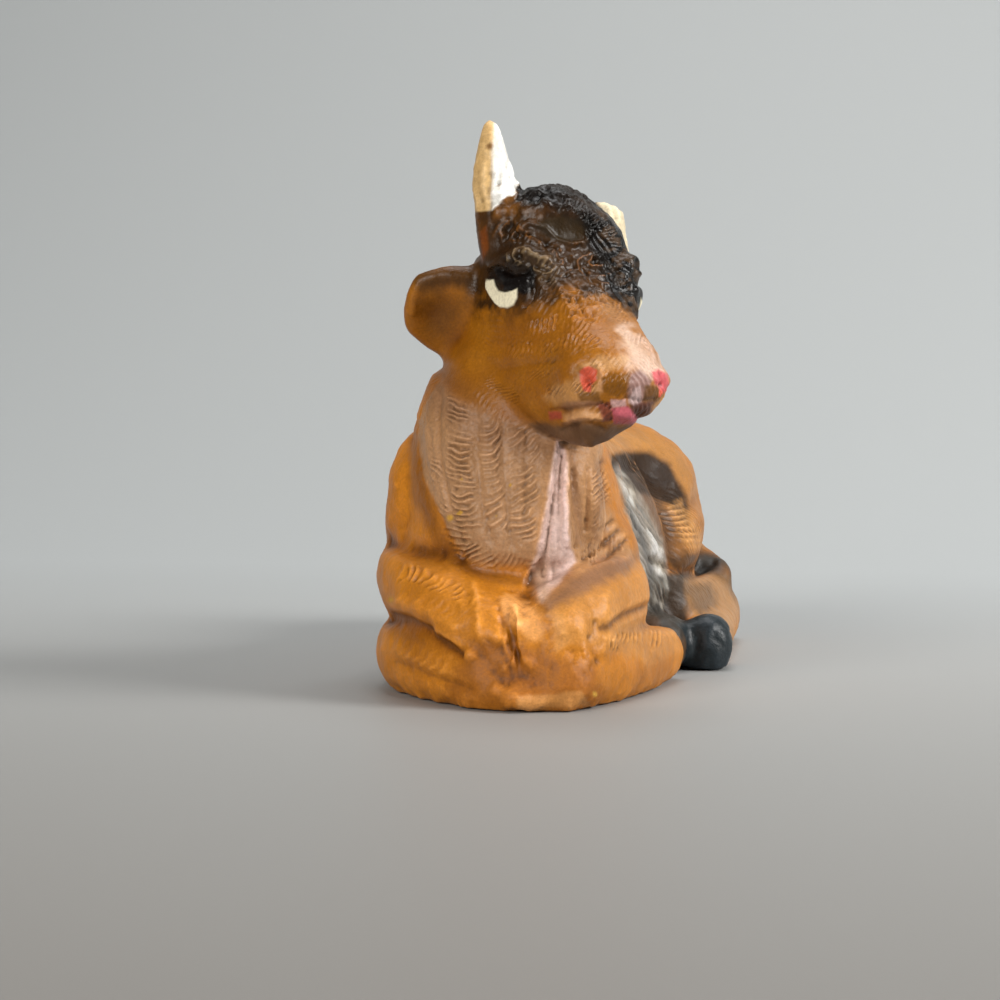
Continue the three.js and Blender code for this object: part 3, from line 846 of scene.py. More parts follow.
@dataclass
class Relief:
    """The worked surface: folds, features, comb strokes, hair and tool marks."""

    squeezes: tuple[Squeeze, ...] = (
        Squeeze((4.0, -42.0, 0.0), (7.0, 6.0, 4.0), (0.0, -2.2, 0.0)),
        Squeeze((3.8, -41.0, 0.0), (1.6, 4.5, 4.5), (0.0, -3.0, 0.0)),
    )
    shifts: tuple[Nudge, ...] = (
        Nudge(trace("418 282, 440 276, 472 270"), 15.0, (-1.0, -9.0), HEAD),
        Nudge(trace("414 330, 438 354"), 13.0, (-2.0, 4.0), HEAD),
        Nudge(trace("537 190, 560 194"), 14.0, (0.0, -4.0), HEAD),
        Nudge(trace("600 202, 612 206"), 14.0, (2.0, 9.0), HEAD),
        Nudge(trace("624 216, 632 236"), 11.0, (-4.0, 3.0), HEAD),
        Nudge(trace("622 277, 634 298, 634 322"), 15.0, (7.0, 0.0), HEAD),
        Nudge(trace("664 380"), 10.0, (6.0, 1.0), HEAD),
        Nudge(trace("660 408, 648 424"), 11.0, (-5.0, 0.0), HEAD),
        Nudge(trace("562 434, 588 438"), 13.0, (-2.0, 9.0), HEAD),
        Nudge(trace("624 436, 642 426"), 13.0, (-3.0, -8.0), HEAD),
        Nudge(trace("441 378, 428 402, 420 425"), 17.0, (-8.0, 0.0)),
        Nudge(trace("407 448, 392 475"), 16.0, (-3.0, 0.0)),
        Nudge(trace("616 462, 622 485, 632 510"), 22.0, (-13.0, 0.0)),
        Nudge(trace("644 560, 650 590"), 20.0, (-5.0, 0.0)),
        Nudge(trace("700 525, 706 550"), 18.0, (4.0, 0.0), REAR),
    )
    large: tuple[Touch, ...] = (
        Touch(trace("512 284"), 24.0, -0.3, CHEEKS),
        Touch(trace("507 284, 516 282"), 10.0, 0.55, CHEEKS),
        Touch(trace("494 266, 506 257, 525 254, 543 262"), 6.0, 0.75, CHEEKS),
        Touch(trace("522 258, 545 266"), 13.0, 0.4, CHEEKS),
        Touch(trace("432 312"), 16.0, -0.35, CHEEKS),
        Touch(trace("412 312, 412 296, 420 281, 440 275, 468 276"), 5.0, 0.3, CHEEKS),
        Touch(trace("482 397, 500 408, 520 422, 548 437, 585 446"), 8.0, -0.4),
        Touch(trace("575 396, 558 404"), 9.0, 0.3, CHEEKS),
        Touch(TUFT, 11.0, 0.55, HEAD),
        Touch(trace("500 214, 520 212, 545 208"), 6.0, 0.5, HEAD),
        Touch(trace("560 229, 572 229"), 14.0, -0.4, HEAD),
        Touch(trace("578 450, 580 480, 584 510, 590 545"), 7.0, -0.8),
        Touch(trace("594 452, 597 490, 600 520, 596 548"), 7.0, 0.5),
        Touch(trace("440 385, 437 420, 439 460, 448 505, 460 540"), 4.0, -0.4),
        Touch(trace("477 400, 476 450, 481 500, 490 540"), 4.5, -0.3),
        Touch(trace("504 412, 503 460, 507 510, 511 545"), 4.5, -0.25),
        Touch(trace("458 400, 458 450, 463 500"), 9.0, 0.15),
        Touch(trace("384 540, 405 548, 440 552"), 9.0, -0.7),
        Touch(trace("379 615, 405 622, 432 634, 462 652"), 6.5, -0.9),
        Touch(trace("400 600, 430 612, 455 628"), 7.0, 0.35),
        Touch(trace("395 662, 430 676, 470 690"), 6.0, -0.45),
        Touch(trace("604 598, 608 622, 604 650"), 8.0, 0.5),
        Touch(trace("508 612, 514 640, 522 664"), 5.0, -0.35),
        Touch(trace("512 606, 530 626, 548 655"), 9.0, 0.25),
        Touch(trace("474 585, 478 606, 480 632, 494 662"), 5.0, 0.3),
        Touch(trace("572 652, 590 670"), 8.0, -0.25),
        Touch(trace("540 594, 580 571, 625 560"), 6.0, 0.4),
        Touch(trace("640 575, 648 604"), 6.0, 0.35),
        Touch(trace("417 425, 420 455, 427 485, 436 512, 447 538, 462 557"), 6.0, -0.45),
        Touch(trace("403 452, 398 480, 403 512, 416 534"), 10.0, 0.35),
        Touch(trace("464 561, 485 573, 515 578, 534 584"), 6.0, -0.1),
        Touch(trace("591 606, 593 635, 598 660"), 6.0, -0.12),
        Touch(trace("499 636, 503 652, 506 668"), 8.0, 1.2),
        Touch(trace("522 628, 526 646, 528 664"), 10.0, 1.5),
        Touch(trace("438 632, 455 642, 470 655"), 6.0, 0.8),
        Touch(trace("513 612, 514 640, 514 668"), 5.0, 0.75),
        Touch(trace("496 690, 519 700, 545 700"), 7.0, 0.5),
        Touch(trace("603 629, 624 617, 645 607, 658 598"), 4.0, -0.55),
        Touch(trace("610 641, 640 636, 672 633"), 7.0, 0.35),
        Touch(trace("556 462, 553 500, 547 545, 543 575"), 2.4, -0.25),
        Touch(trace("562 455, 561 500, 558 550, 552 580"), 2.4, -0.2),
    )
    medium: tuple[Touch, ...] = (
        Touch(trace("540 281, 544 291, 539 301, 530 309"), 3.2, 0.42, CHEEKS),
        Touch(trace("534 288, 532 299, 525 307"), 2.6, -0.35, CHEEKS),
        Touch(trace("528 281"), 5.0, 0.35, CHEEKS),
        Touch(trace("508 263, 520 265"), 5.5, 0.42, CHEEKS),
        Touch(trace("489 271, 500 268, 512 274, 526 272"), 2.6, -0.34, CHEEKS),
        Touch(trace("500 369, 530 364, 560 361, 578 353"), 4.0, -0.16, CHEEKS),
        Touch(trace("470 350, 500 358, 530 352"), 7.0, 0.2, CHEEKS),
        Touch(trace("588 380, 590 384"), 4.0, -0.45, CHEEKS),
        Touch(trace("586 370"), 3.5, 0.25, CHEEKS),
        Touch(trace("662 384"), 3.5, -0.3, HEAD),
        Touch(trace("604 404, 612 410, 612 420"), 2.4, -0.22, HEAD),
        Touch(trace("604 384, 618 380, 630 384"), 6.0, 0.2, HEAD),
        Touch(trace("626 398, 642 402, 654 400"), 2.6, -0.2, HEAD),
        Touch(trace("582 368, 598 365, 603 376"), 3.2, 0.28, CHEEKS),
        Touch(trace("551 411, 575 409, 602 405"), 2.4, -0.2, HEAD),
        Touch(trace("564 420, 583 415, 601 417"), 3.4, 0.38, HEAD),
        Touch(trace("616 413, 628 415"), 5.5, 0.34, HEAD),
        Touch(trace("561 430, 576 424, 590 424, 604 429"), 2.6, -0.22, HEAD),
        Touch(trace("538 424, 560 438, 590 444"), 5.0, 0.25, HEAD),
        Touch(trace("574 244, 585 242, 591 232"), 2.6, 0.35, HEAD),
        Touch(trace("520 230, 530 223, 545 228, 556 240, 576 246"), 2.4, 0.32, HEAD),
        Touch(trace("524 234, 540 240, 556 250"), 2.2, -0.25, HEAD),
        Touch(trace("567 452, 566 500, 566 545"), 3.2, 0.3),
        Touch(trace("573 470, 574 510, 577 548"), 2.8, -0.4),
        Touch(trace("603 462, 605 500, 604 528, 592 552"), 3.2, -0.45),
        Touch(trace("618 530, 600 548, 584 558"), 2.6, -0.35),
        Touch(trace("626 540, 606 556, 592 562"), 2.6, -0.35),
        Touch(trace("612 520, 598 540, 584 552"), 2.4, -0.3),
        Touch(trace("588 470, 587 500, 585 530"), 2.4, -0.25),
        Touch(trace("429 430, 433 470, 443 507"), 2.8, -0.25),
        Touch(trace("526 432, 526 470, 524 520"), 3.0, -0.15),
        Touch(trace("498 600, 503 626, 500 650, 510 668"), 3.0, -0.22),
        Touch(trace("596 622, 590 640, 598 662"), 3.4, -0.25),
        Touch(trace("655 560, 690 574, 712 560"), 6.0, -0.8, FLANKS),
        Touch(trace("605 466, 640 465, 690 500"), 12.0, -0.9, FLANKS),
    )
    ridge: Path = trace("557 440, 552 470, 547 500, 540 535, 531 566")
    rows: tuple[Comb, ...] = (
        Comb(trace("433 400, 434 440, 437 478, 446 515"), 6.0, 6.0, 0.7, 0.0, 0.14),
        Comb(trace("458 376, 458 420, 459 470, 465 505, 474 530"), 13.0, 6.3, 0.35, 2.0, 0.3),
        Comb(trace("487 396, 489 450, 493 500, 499 532"), 11.0, 9.2, -0.35, 4.5, 0.24),
        Comb(trace("522 415, 523 460, 521 510, 517 540"), 16.0, 8.4, -0.6, 2.0, 0.22),
        Comb(trace("450 522, 466 548, 492 558, 526 552"), 12.0, 7.2, 0.9, 0.0, 0.22),
        Comb(trace("397 570, 425 577, 450 588, 472 606"), 10.0, 6.8, 0.4, 3.0, 0.26),
        Comb(trace("398 592, 430 602, 456 618"), 9.0, 8.0, 0.5, 3.0, 0.1),
        Comb(trace("410 462, 404 490, 404 520, 410 538"), 12.0, 9.5, 0.1, 5.0, 0.05),
        Comb(trace("545 393, 570 389, 598 388"), 7.0, 4.8, 0.9, 0.0, 0.2, CHEEKS),
        Comb(trace("392 642, 420 656, 452 672"), 10.0, 8.5, 0.2, 2.0, 0.09),
        Comb(trace("608 642, 634 642, 664 638"), 9.0, 4.6, 0.2, 0.0, 0.18),
        Comb(trace("630 656, 668 652"), 5.0, 7.0, 0.1, 0.0, 0.12),
        Comb(trace("598 468, 601 500, 600 530"), 9.0, 6.0, -0.9, 0.0, 0.16),
        Comb(trace("584 556, 604 548, 624 540"), 10.0, 5.0, 0.3, 0.0, 0.2),
        Comb(trace("668 505, 682 530, 697 552"), 14.0, 7.0, 0.6, 2.0, 0.22, FLANKS),
        Comb(trace("612 302, 622 320, 640 345"), 7.0, 4.8, -0.7, 0.0, 0.18, HEAD),
        Comb(trace("524 332, 543 326, 562 320"), 8.0, 5.2, 0.5, 0.0, 0.22, CHEEKS),
        Comb(trace("540 350, 560 344, 582 338"), 7.0, 5.4, 0.6, 0.0, 0.2, CHEEKS),
        Comb(trace("506 352, 520 350, 534 346"), 7.0, 5.0, 0.6, 0.0, 0.14, CHEEKS),
        Comb(trace("566 326, 584 334, 600 346"), 7.0, 5.0, 0.3, 0.0, 0.18, CHEEKS),
        Comb(trace("512 378, 536 376, 562 372"), 6.0, 5.6, 1.4, 0.0, 0.12, CHEEKS),
        Comb(trace("486 378, 500 390, 520 402"), 6.0, 4.6, 0.8, 0.0, 0.12, CHEEKS),
        Comb(trace("494 312, 494 330, 492 350"), 8.0, 5.5, 0.3, 2.0, 0.1, CHEEKS),
        Comb(trace("582 214, 600 224, 612 238, 621 256"), 8.0, 4.0, 0.45, 1.0, 0.34, HEAD),
        Comb(trace("560 203, 576 206, 590 214"), 8.0, 4.2, 0.2, 1.0, 0.26, HEAD),
        Comb(trace("448 284, 462 287, 474 290"), 5.0, 4.0, 0.4, 0.0, 0.16, CHEEKS),
    )

    def keel(self, chart: Chart) -> Array:
        """The proud edge where the combed front of the dewlap ends.

        Args:
            chart: Where things are on the skin.

        Returns:
            The rise of each point, in millimetres.
        """
        spots, mask = chart.ground(FRONT)
        near = (mask > 0.02) & (np.abs(spots[:, 0] - 545.0) < 75.0) & (spots[:, 1] > 430.0) & (spots[:, 1] < 590.0)
        near = np.where(near)[0]
        gap, side, _ = path_offset(spots[near], self.ridge)
        signed = gap * side + 1.8 * noise(spots[near], 6.0, 11, 2)
        lip = 0.6 * np.exp(-((signed / np.where(signed < 0, 3.5, 24.0)) ** 2))
        foot = 0.5 * np.exp(-(((signed + 9.0) / 8.0) ** 2))
        result = np.zeros(len(chart.points))
        result[near] = (lip - foot) * mask[near]
        return result

    def tuft(self, chart: Chart) -> Array:
        """Strands of the hair tuft over the poll, and short hair behind it.

        Args:
            chart: Where things are on the skin.

        Returns:
            The rise of each point, in millimetres.
        """
        own = chart.own
        gap, side, along = path_offset(chart.spots, TUFT)
        band = np.exp(-((gap / 11.0) ** 2)) * chart.on_head * smoothstep(-0.5, 0.1, chart.facing)
        band *= 1.0 - 0.7 * smoothstep(566.0, 580.0, chart.spots[:, 0])
        back = np.exp(-(((own[:, 1] - 9.0) / 4.0) ** 2)) * smoothstep(5.0, 8.0, own[:, 2]) * (1 - band)
        both = np.maximum(band, back)
        worm = np.clip(worms(own, both, 26, 0.6, 1.8, 1.3, 2.4), -0.7, 1.0)
        stroke = 0.5 + 0.5 * np.cos(2 * math.pi * (own[:, 0] + 0.5 * noise(own, 2.0, 25, 1, back)) / 0.95)
        front = chart.on_head * smoothstep(-0.1, 0.2, chart.facing)
        lobe, rim, run = path_offset(chart.spots, trace("588 222, 602 250, 616 280, 628 306"))
        streak = np.exp(-((lobe / 11.0) ** 2)) * front
        weave = lobe * rim + 0.12 * run + 3.0 * noise(chart.spots, 16.0, 22, 2, streak)
        strand = 0.5 + 0.5 * np.cos(2 * math.pi * weave / 6.0)
        return band * 0.32 * worm + back * (0.2 * (stroke - 0.5) + 0.15 * worm) + streak * 0.2 * (strand - 0.5)

    def curls(self, chart: Chart) -> Array:
        """Rough curly hair between the eyes and on the brows.

        Args:
            chart: Where things are on the skin.

        Returns:
            The rise of each point, in millimetres.
        """
        mask = np.maximum(chart.inside(HEAD, FOREHEAD, 6.0), chart.inside(CHEEKS, BROW, 3.0))
        own = chart.own
        worm = worms(own, mask, 31, 0.7, 2.0, 1.35)
        return mask * (0.34 * np.clip(worm, -0.8, 1.0) + 0.08 * noise(own, 0.55, 36, 2, mask))

    def cheek_hair(self, chart: Chart) -> Array:
        """Fainter dashes between the clear strokes of the head.

        Args:
            chart: Where things are on the skin.

        Returns:
            The rise of each point, in millimetres.
        """
        spots, own = chart.cheek_spots, chart.own
        mask = chart.on_head * (1.0 - smoothstep(5.5, 8.0, own[:, 2])) * smoothstep(470.0, 482.0, spots[:, 0])
        bent = spots + 3.0 * np.stack([noise(spots, 24.0, s, 2, mask) for s in (41, 42)], 1)
        course = 0.8 * bent[:, 0] + 0.6 * bent[:, 1]
        row = (0.6 * bent[:, 0] - 0.8 * bent[:, 1]) / 12.0
        cell = np.floor(row)
        wave = 0.5 + 0.5 * np.cos(2 * math.pi * (course / 5.2 + lattice(cell, 43)))
        patch = smoothstep(0.0, 0.45, noise(spots, 26.0, 47, 2, mask))
        crumb = 0.035 * noise(own, 0.7, 49, 3, mask)
        return mask * (0.13 * (wave**1.6 - 0.35) * np.sin(math.pi * (row - cell)) ** 0.7 * patch + crumb)

    def smears(self, chart: Chart) -> Array:
        """Ragged slip pressed on by hand between the forelegs, and the rough foot of the casting.

        Args:
            chart: Where things are on the skin.

        Returns:
            The rise of each point, in millimetres.
        """
        area = trace("466 590, 500 588, 545 594, 560 630, 600 606, 612 660, 570 690, 505 692, 474 660")
        mask = chart.inside(FRONT, area, 7.0)
        step = smoothstep(-0.04, 0.05, noise(chart.points * [1.0, 1.0, 0.5], 1.9, 61, 3, mask)) - 0.5
        crumb = noise(chart.points, 0.7, 63, 3, mask)
        foot = np.exp(-((chart.points[:, 2] / 1.9) ** 2)) * smoothstep(0.0, 0.4, chart.points[:, 2])
        ledge = foot * (0.25 + 0.3 * noise(chart.points, 1.6, 65, 3, foot))
        return mask * (0.07 * step + 0.1 * crumb) + ledge

    def coat(self, chart: Chart) -> Array:
        """Soft lumps and short hair strokes all over the trunk and the legs.

        Args:
            chart: Where things are on the skin.

        Returns:
            The rise of each point, in millimetres.
        """
        p = chart.points
        rest = (1.0 - chart.on_head) * (1.0 - chart.on_neck)
        lumps = 0.18 * noise(p, 6.0, 71, 2, rest) + 0.12 * noise(p, 1.9, 73, 3, rest)
        lumps += 0.035 * noise(p, 0.7, 74, 2, rest)
        low, high = np.array([[14.0, -6.0, -1.0], [25.0, 5.0, 9.0]])
        hoof = np.all((p > low) & (p < high), axis=1)
        lumps += hoof * 0.3 * (np.abs(noise(p, 2.2, 78, 2, hoof)) - 0.2)
        worked = rest * (0.15 + 0.85 * smoothstep(-16.0, -6.0, p[:, 1])) * smoothstep(4.0, 9.0, p[:, 2])
        worked *= smoothstep(-0.2, 0.5, noise(p, 8.0, 81, 2, worked))
        girth = np.degrees(np.arctan2(p[:, 2] - 12.0, p[:, 0])) * 0.25
        row = (girth + 0.9 * noise(p, 5.0, 75, 2, worked)) / 2.6
        cell = np.floor(row)
        share = row - cell
        course = p[:, 1] + 2.1 * (share - 0.5) + 0.7 * noise(p, 3.0, 79, 2, worked)
        wave = 0.5 + 0.5 * np.cos(2 * math.pi * (course / 1.05 + lattice(cell, 77)))
        return rest * lumps + worked * 0.13 * (wave**1.4 - 0.4) * np.sin(math.pi * share) ** 0.7

    def dewlap(self, chart: Chart) -> Array:
        """Fine scratches between the combed rows of the neck.

        Args:
            chart: Where things are on the skin.

        Returns:
            The rise of each point, in millimetres.
        """
        mask = chart.on_neck
        worm = worms(chart.points, mask, 51, 0.5, 1.6, 1.1, flat=0.8)
        return mask * (0.07 * np.clip(worm, -0.8, 1.0) + 0.04 * noise(chart.points, 0.5, 56, 2, mask))

    def belly_hair(self, chart: Chart) -> Array:
        """Long fine hair strokes down the belly behind the elbow.

        Args:
            chart: Where things are on the skin.

        Returns:
            The rise of each point, in millimetres.
        """
        mask = chart.inside(FLANKS, BELLY, 5.0)
        strand, lock = hair_of(chart.flank_spots, mask)
        return mask * (0.16 * (strand - 0.5) + 0.2 * (lock - 0.5))

    def horn_grain(self, chart: Chart) -> Array:
        """Faint ribs along the horns and the brushed thickness of their paint.

        Args:
            chart: Where things are on the skin.

        Returns:
            The rise of each point, in millimetres.
        """
        own = chart.own
        reach = chart.on_horns()
        rough = 0.07 * noise(own * [1.0, 1.0, 0.3], 0.9, 95, 2, reach) + 0.04 * noise(own, 0.5, 96, 2, reach)
        return reach * (0.16 + rough)

    def carve(self, skin: Skin, view: FrontView, head: HeadFrame) -> Chart:
        """Works the whole skin, from the large forms to the fine marks.

        Args:
            skin: The fused and softened skin.
            view: The view that marks are laid out in.
            head: The head's frame.

        Returns:
            The chart of the finished skin, on soft normals.
        """
        chart = Chart(view, head, skin.points, skin.normals)
        skin.points = skin.points + chart.squeezes(self.squeezes) + chart.nudges(self.shifts)
        skin.points[:, 2] = np.maximum(skin.points[:, 2], 0.0)
        skin.store()
        chart = Chart(view, head, skin.points, skin.normals)
        skin.push(chart.rises(self.large) + self.keel(chart))
        skin.soften(2)
        skin.store()
        chart = Chart(view, head, skin.points, skin.normals)
        skin.push(chart.rises(self.medium))
        skin.soften(1)
        skin.store()
        chart = Chart(view, head, skin.points.copy(), skin.normals.copy())
        fine = self.tuft(chart) + self.curls(chart) + self.cheek_hair(chart)
        fine *= 1.0 - chart.inside(HEAD, OVAL, 2.0)
        fine += chart.combs(self.rows)
        calm = np.maximum(chart.inside(CHEEKS, EYE_BLACK, 1.5), chart.inside(CHEEKS, EYE_WHITE, 1.5))
        fine *= 1.0 - calm
        fine += (
            self.smears(chart) + self.coat(chart) + self.dewlap(chart) + self.belly_hair(chart) + self.horn_grain(chart)
        )
        fine += 0.16 * chart.inside(CHEEKS, EYE_WHITE, 0.9)
        fine += 0.02 * noise(chart.points, 0.6, 99, 2)
        skin.push(fine * smoothstep(0.0, 0.5, chart.points[:, 2]))
        skin.points[:, 2] = np.maximum(skin.points[:, 2], 0.0)
        skin.store()
        return chart


# Paint


@dataclass(frozen=True)
class Pigment:
    """A paint: its colour, and its roughness when dry."""

    colour: Colour
    roughness: float = 0.45


@dataclass(frozen=True)
class Wash:
    """A patch of paint laid on over others inside an outline of the front view; some are painted shade and some painted
    highlights.
    """

    outline: Path
    pigment: Pigment
    soft: float
    ground: Ground
    strength: float = 1.0
    ragged: float = 0.0


def mixed(red: int, green: int, blue: int, roughness: float = 0.34) -> Pigment:
    """Mixes a paint from its display colour."""
    return Pigment(linear(red, green, blue), roughness)


ORANGE = mixed(184, 114, 26, 0.33)
AMBER = mixed(140, 82, 8, 0.3)
FACE = mixed(150, 92, 14, 0.28)
UMBER = mixed(44, 27, 10, 0.22)
PITCH = mixed(13, 10, 8, 0.2)
MAUVE = mixed(166, 124, 86, 0.34)
LILAC = mixed(204, 176, 168, 0.42)
PLUM = mixed(112, 76, 54, 0.4)
CREAM = mixed(196, 160, 106, 0.36)
WHITE = mixed(220, 219, 212, 0.4)
GREY_HAIR = mixed(158, 146, 130, 0.5)
SLATE = mixed(30, 37, 40, 0.3)
SMOKE = mixed(52, 47, 40, 0.4)
CORAL = mixed(206, 84, 62, 0.36)
SAND = mixed(168, 124, 82, 0.38)
TAN = mixed(190, 138, 80, 0.38)
COCOA = mixed(60, 36, 8, 0.3)
BARE = mixed(190, 144, 58, 0.8)


@dataclass
class Coat:
    """The paint on the skin's points: its colours and its roughness."""

    base: Array
    gloss: Array

    def lay(self, pigment: Pigment, share: Array) -> None:
        """Lays a pigment over what is painted so far.

        Args:
            pigment: The paint.
            share: How much of it covers each point.
        """
        share = np.clip(share, 0.0, 1.0)
        self.base += share[:, None] * (np.array(pigment.colour) - self.base)
        self.gloss += share * (pigment.roughness - self.gloss)


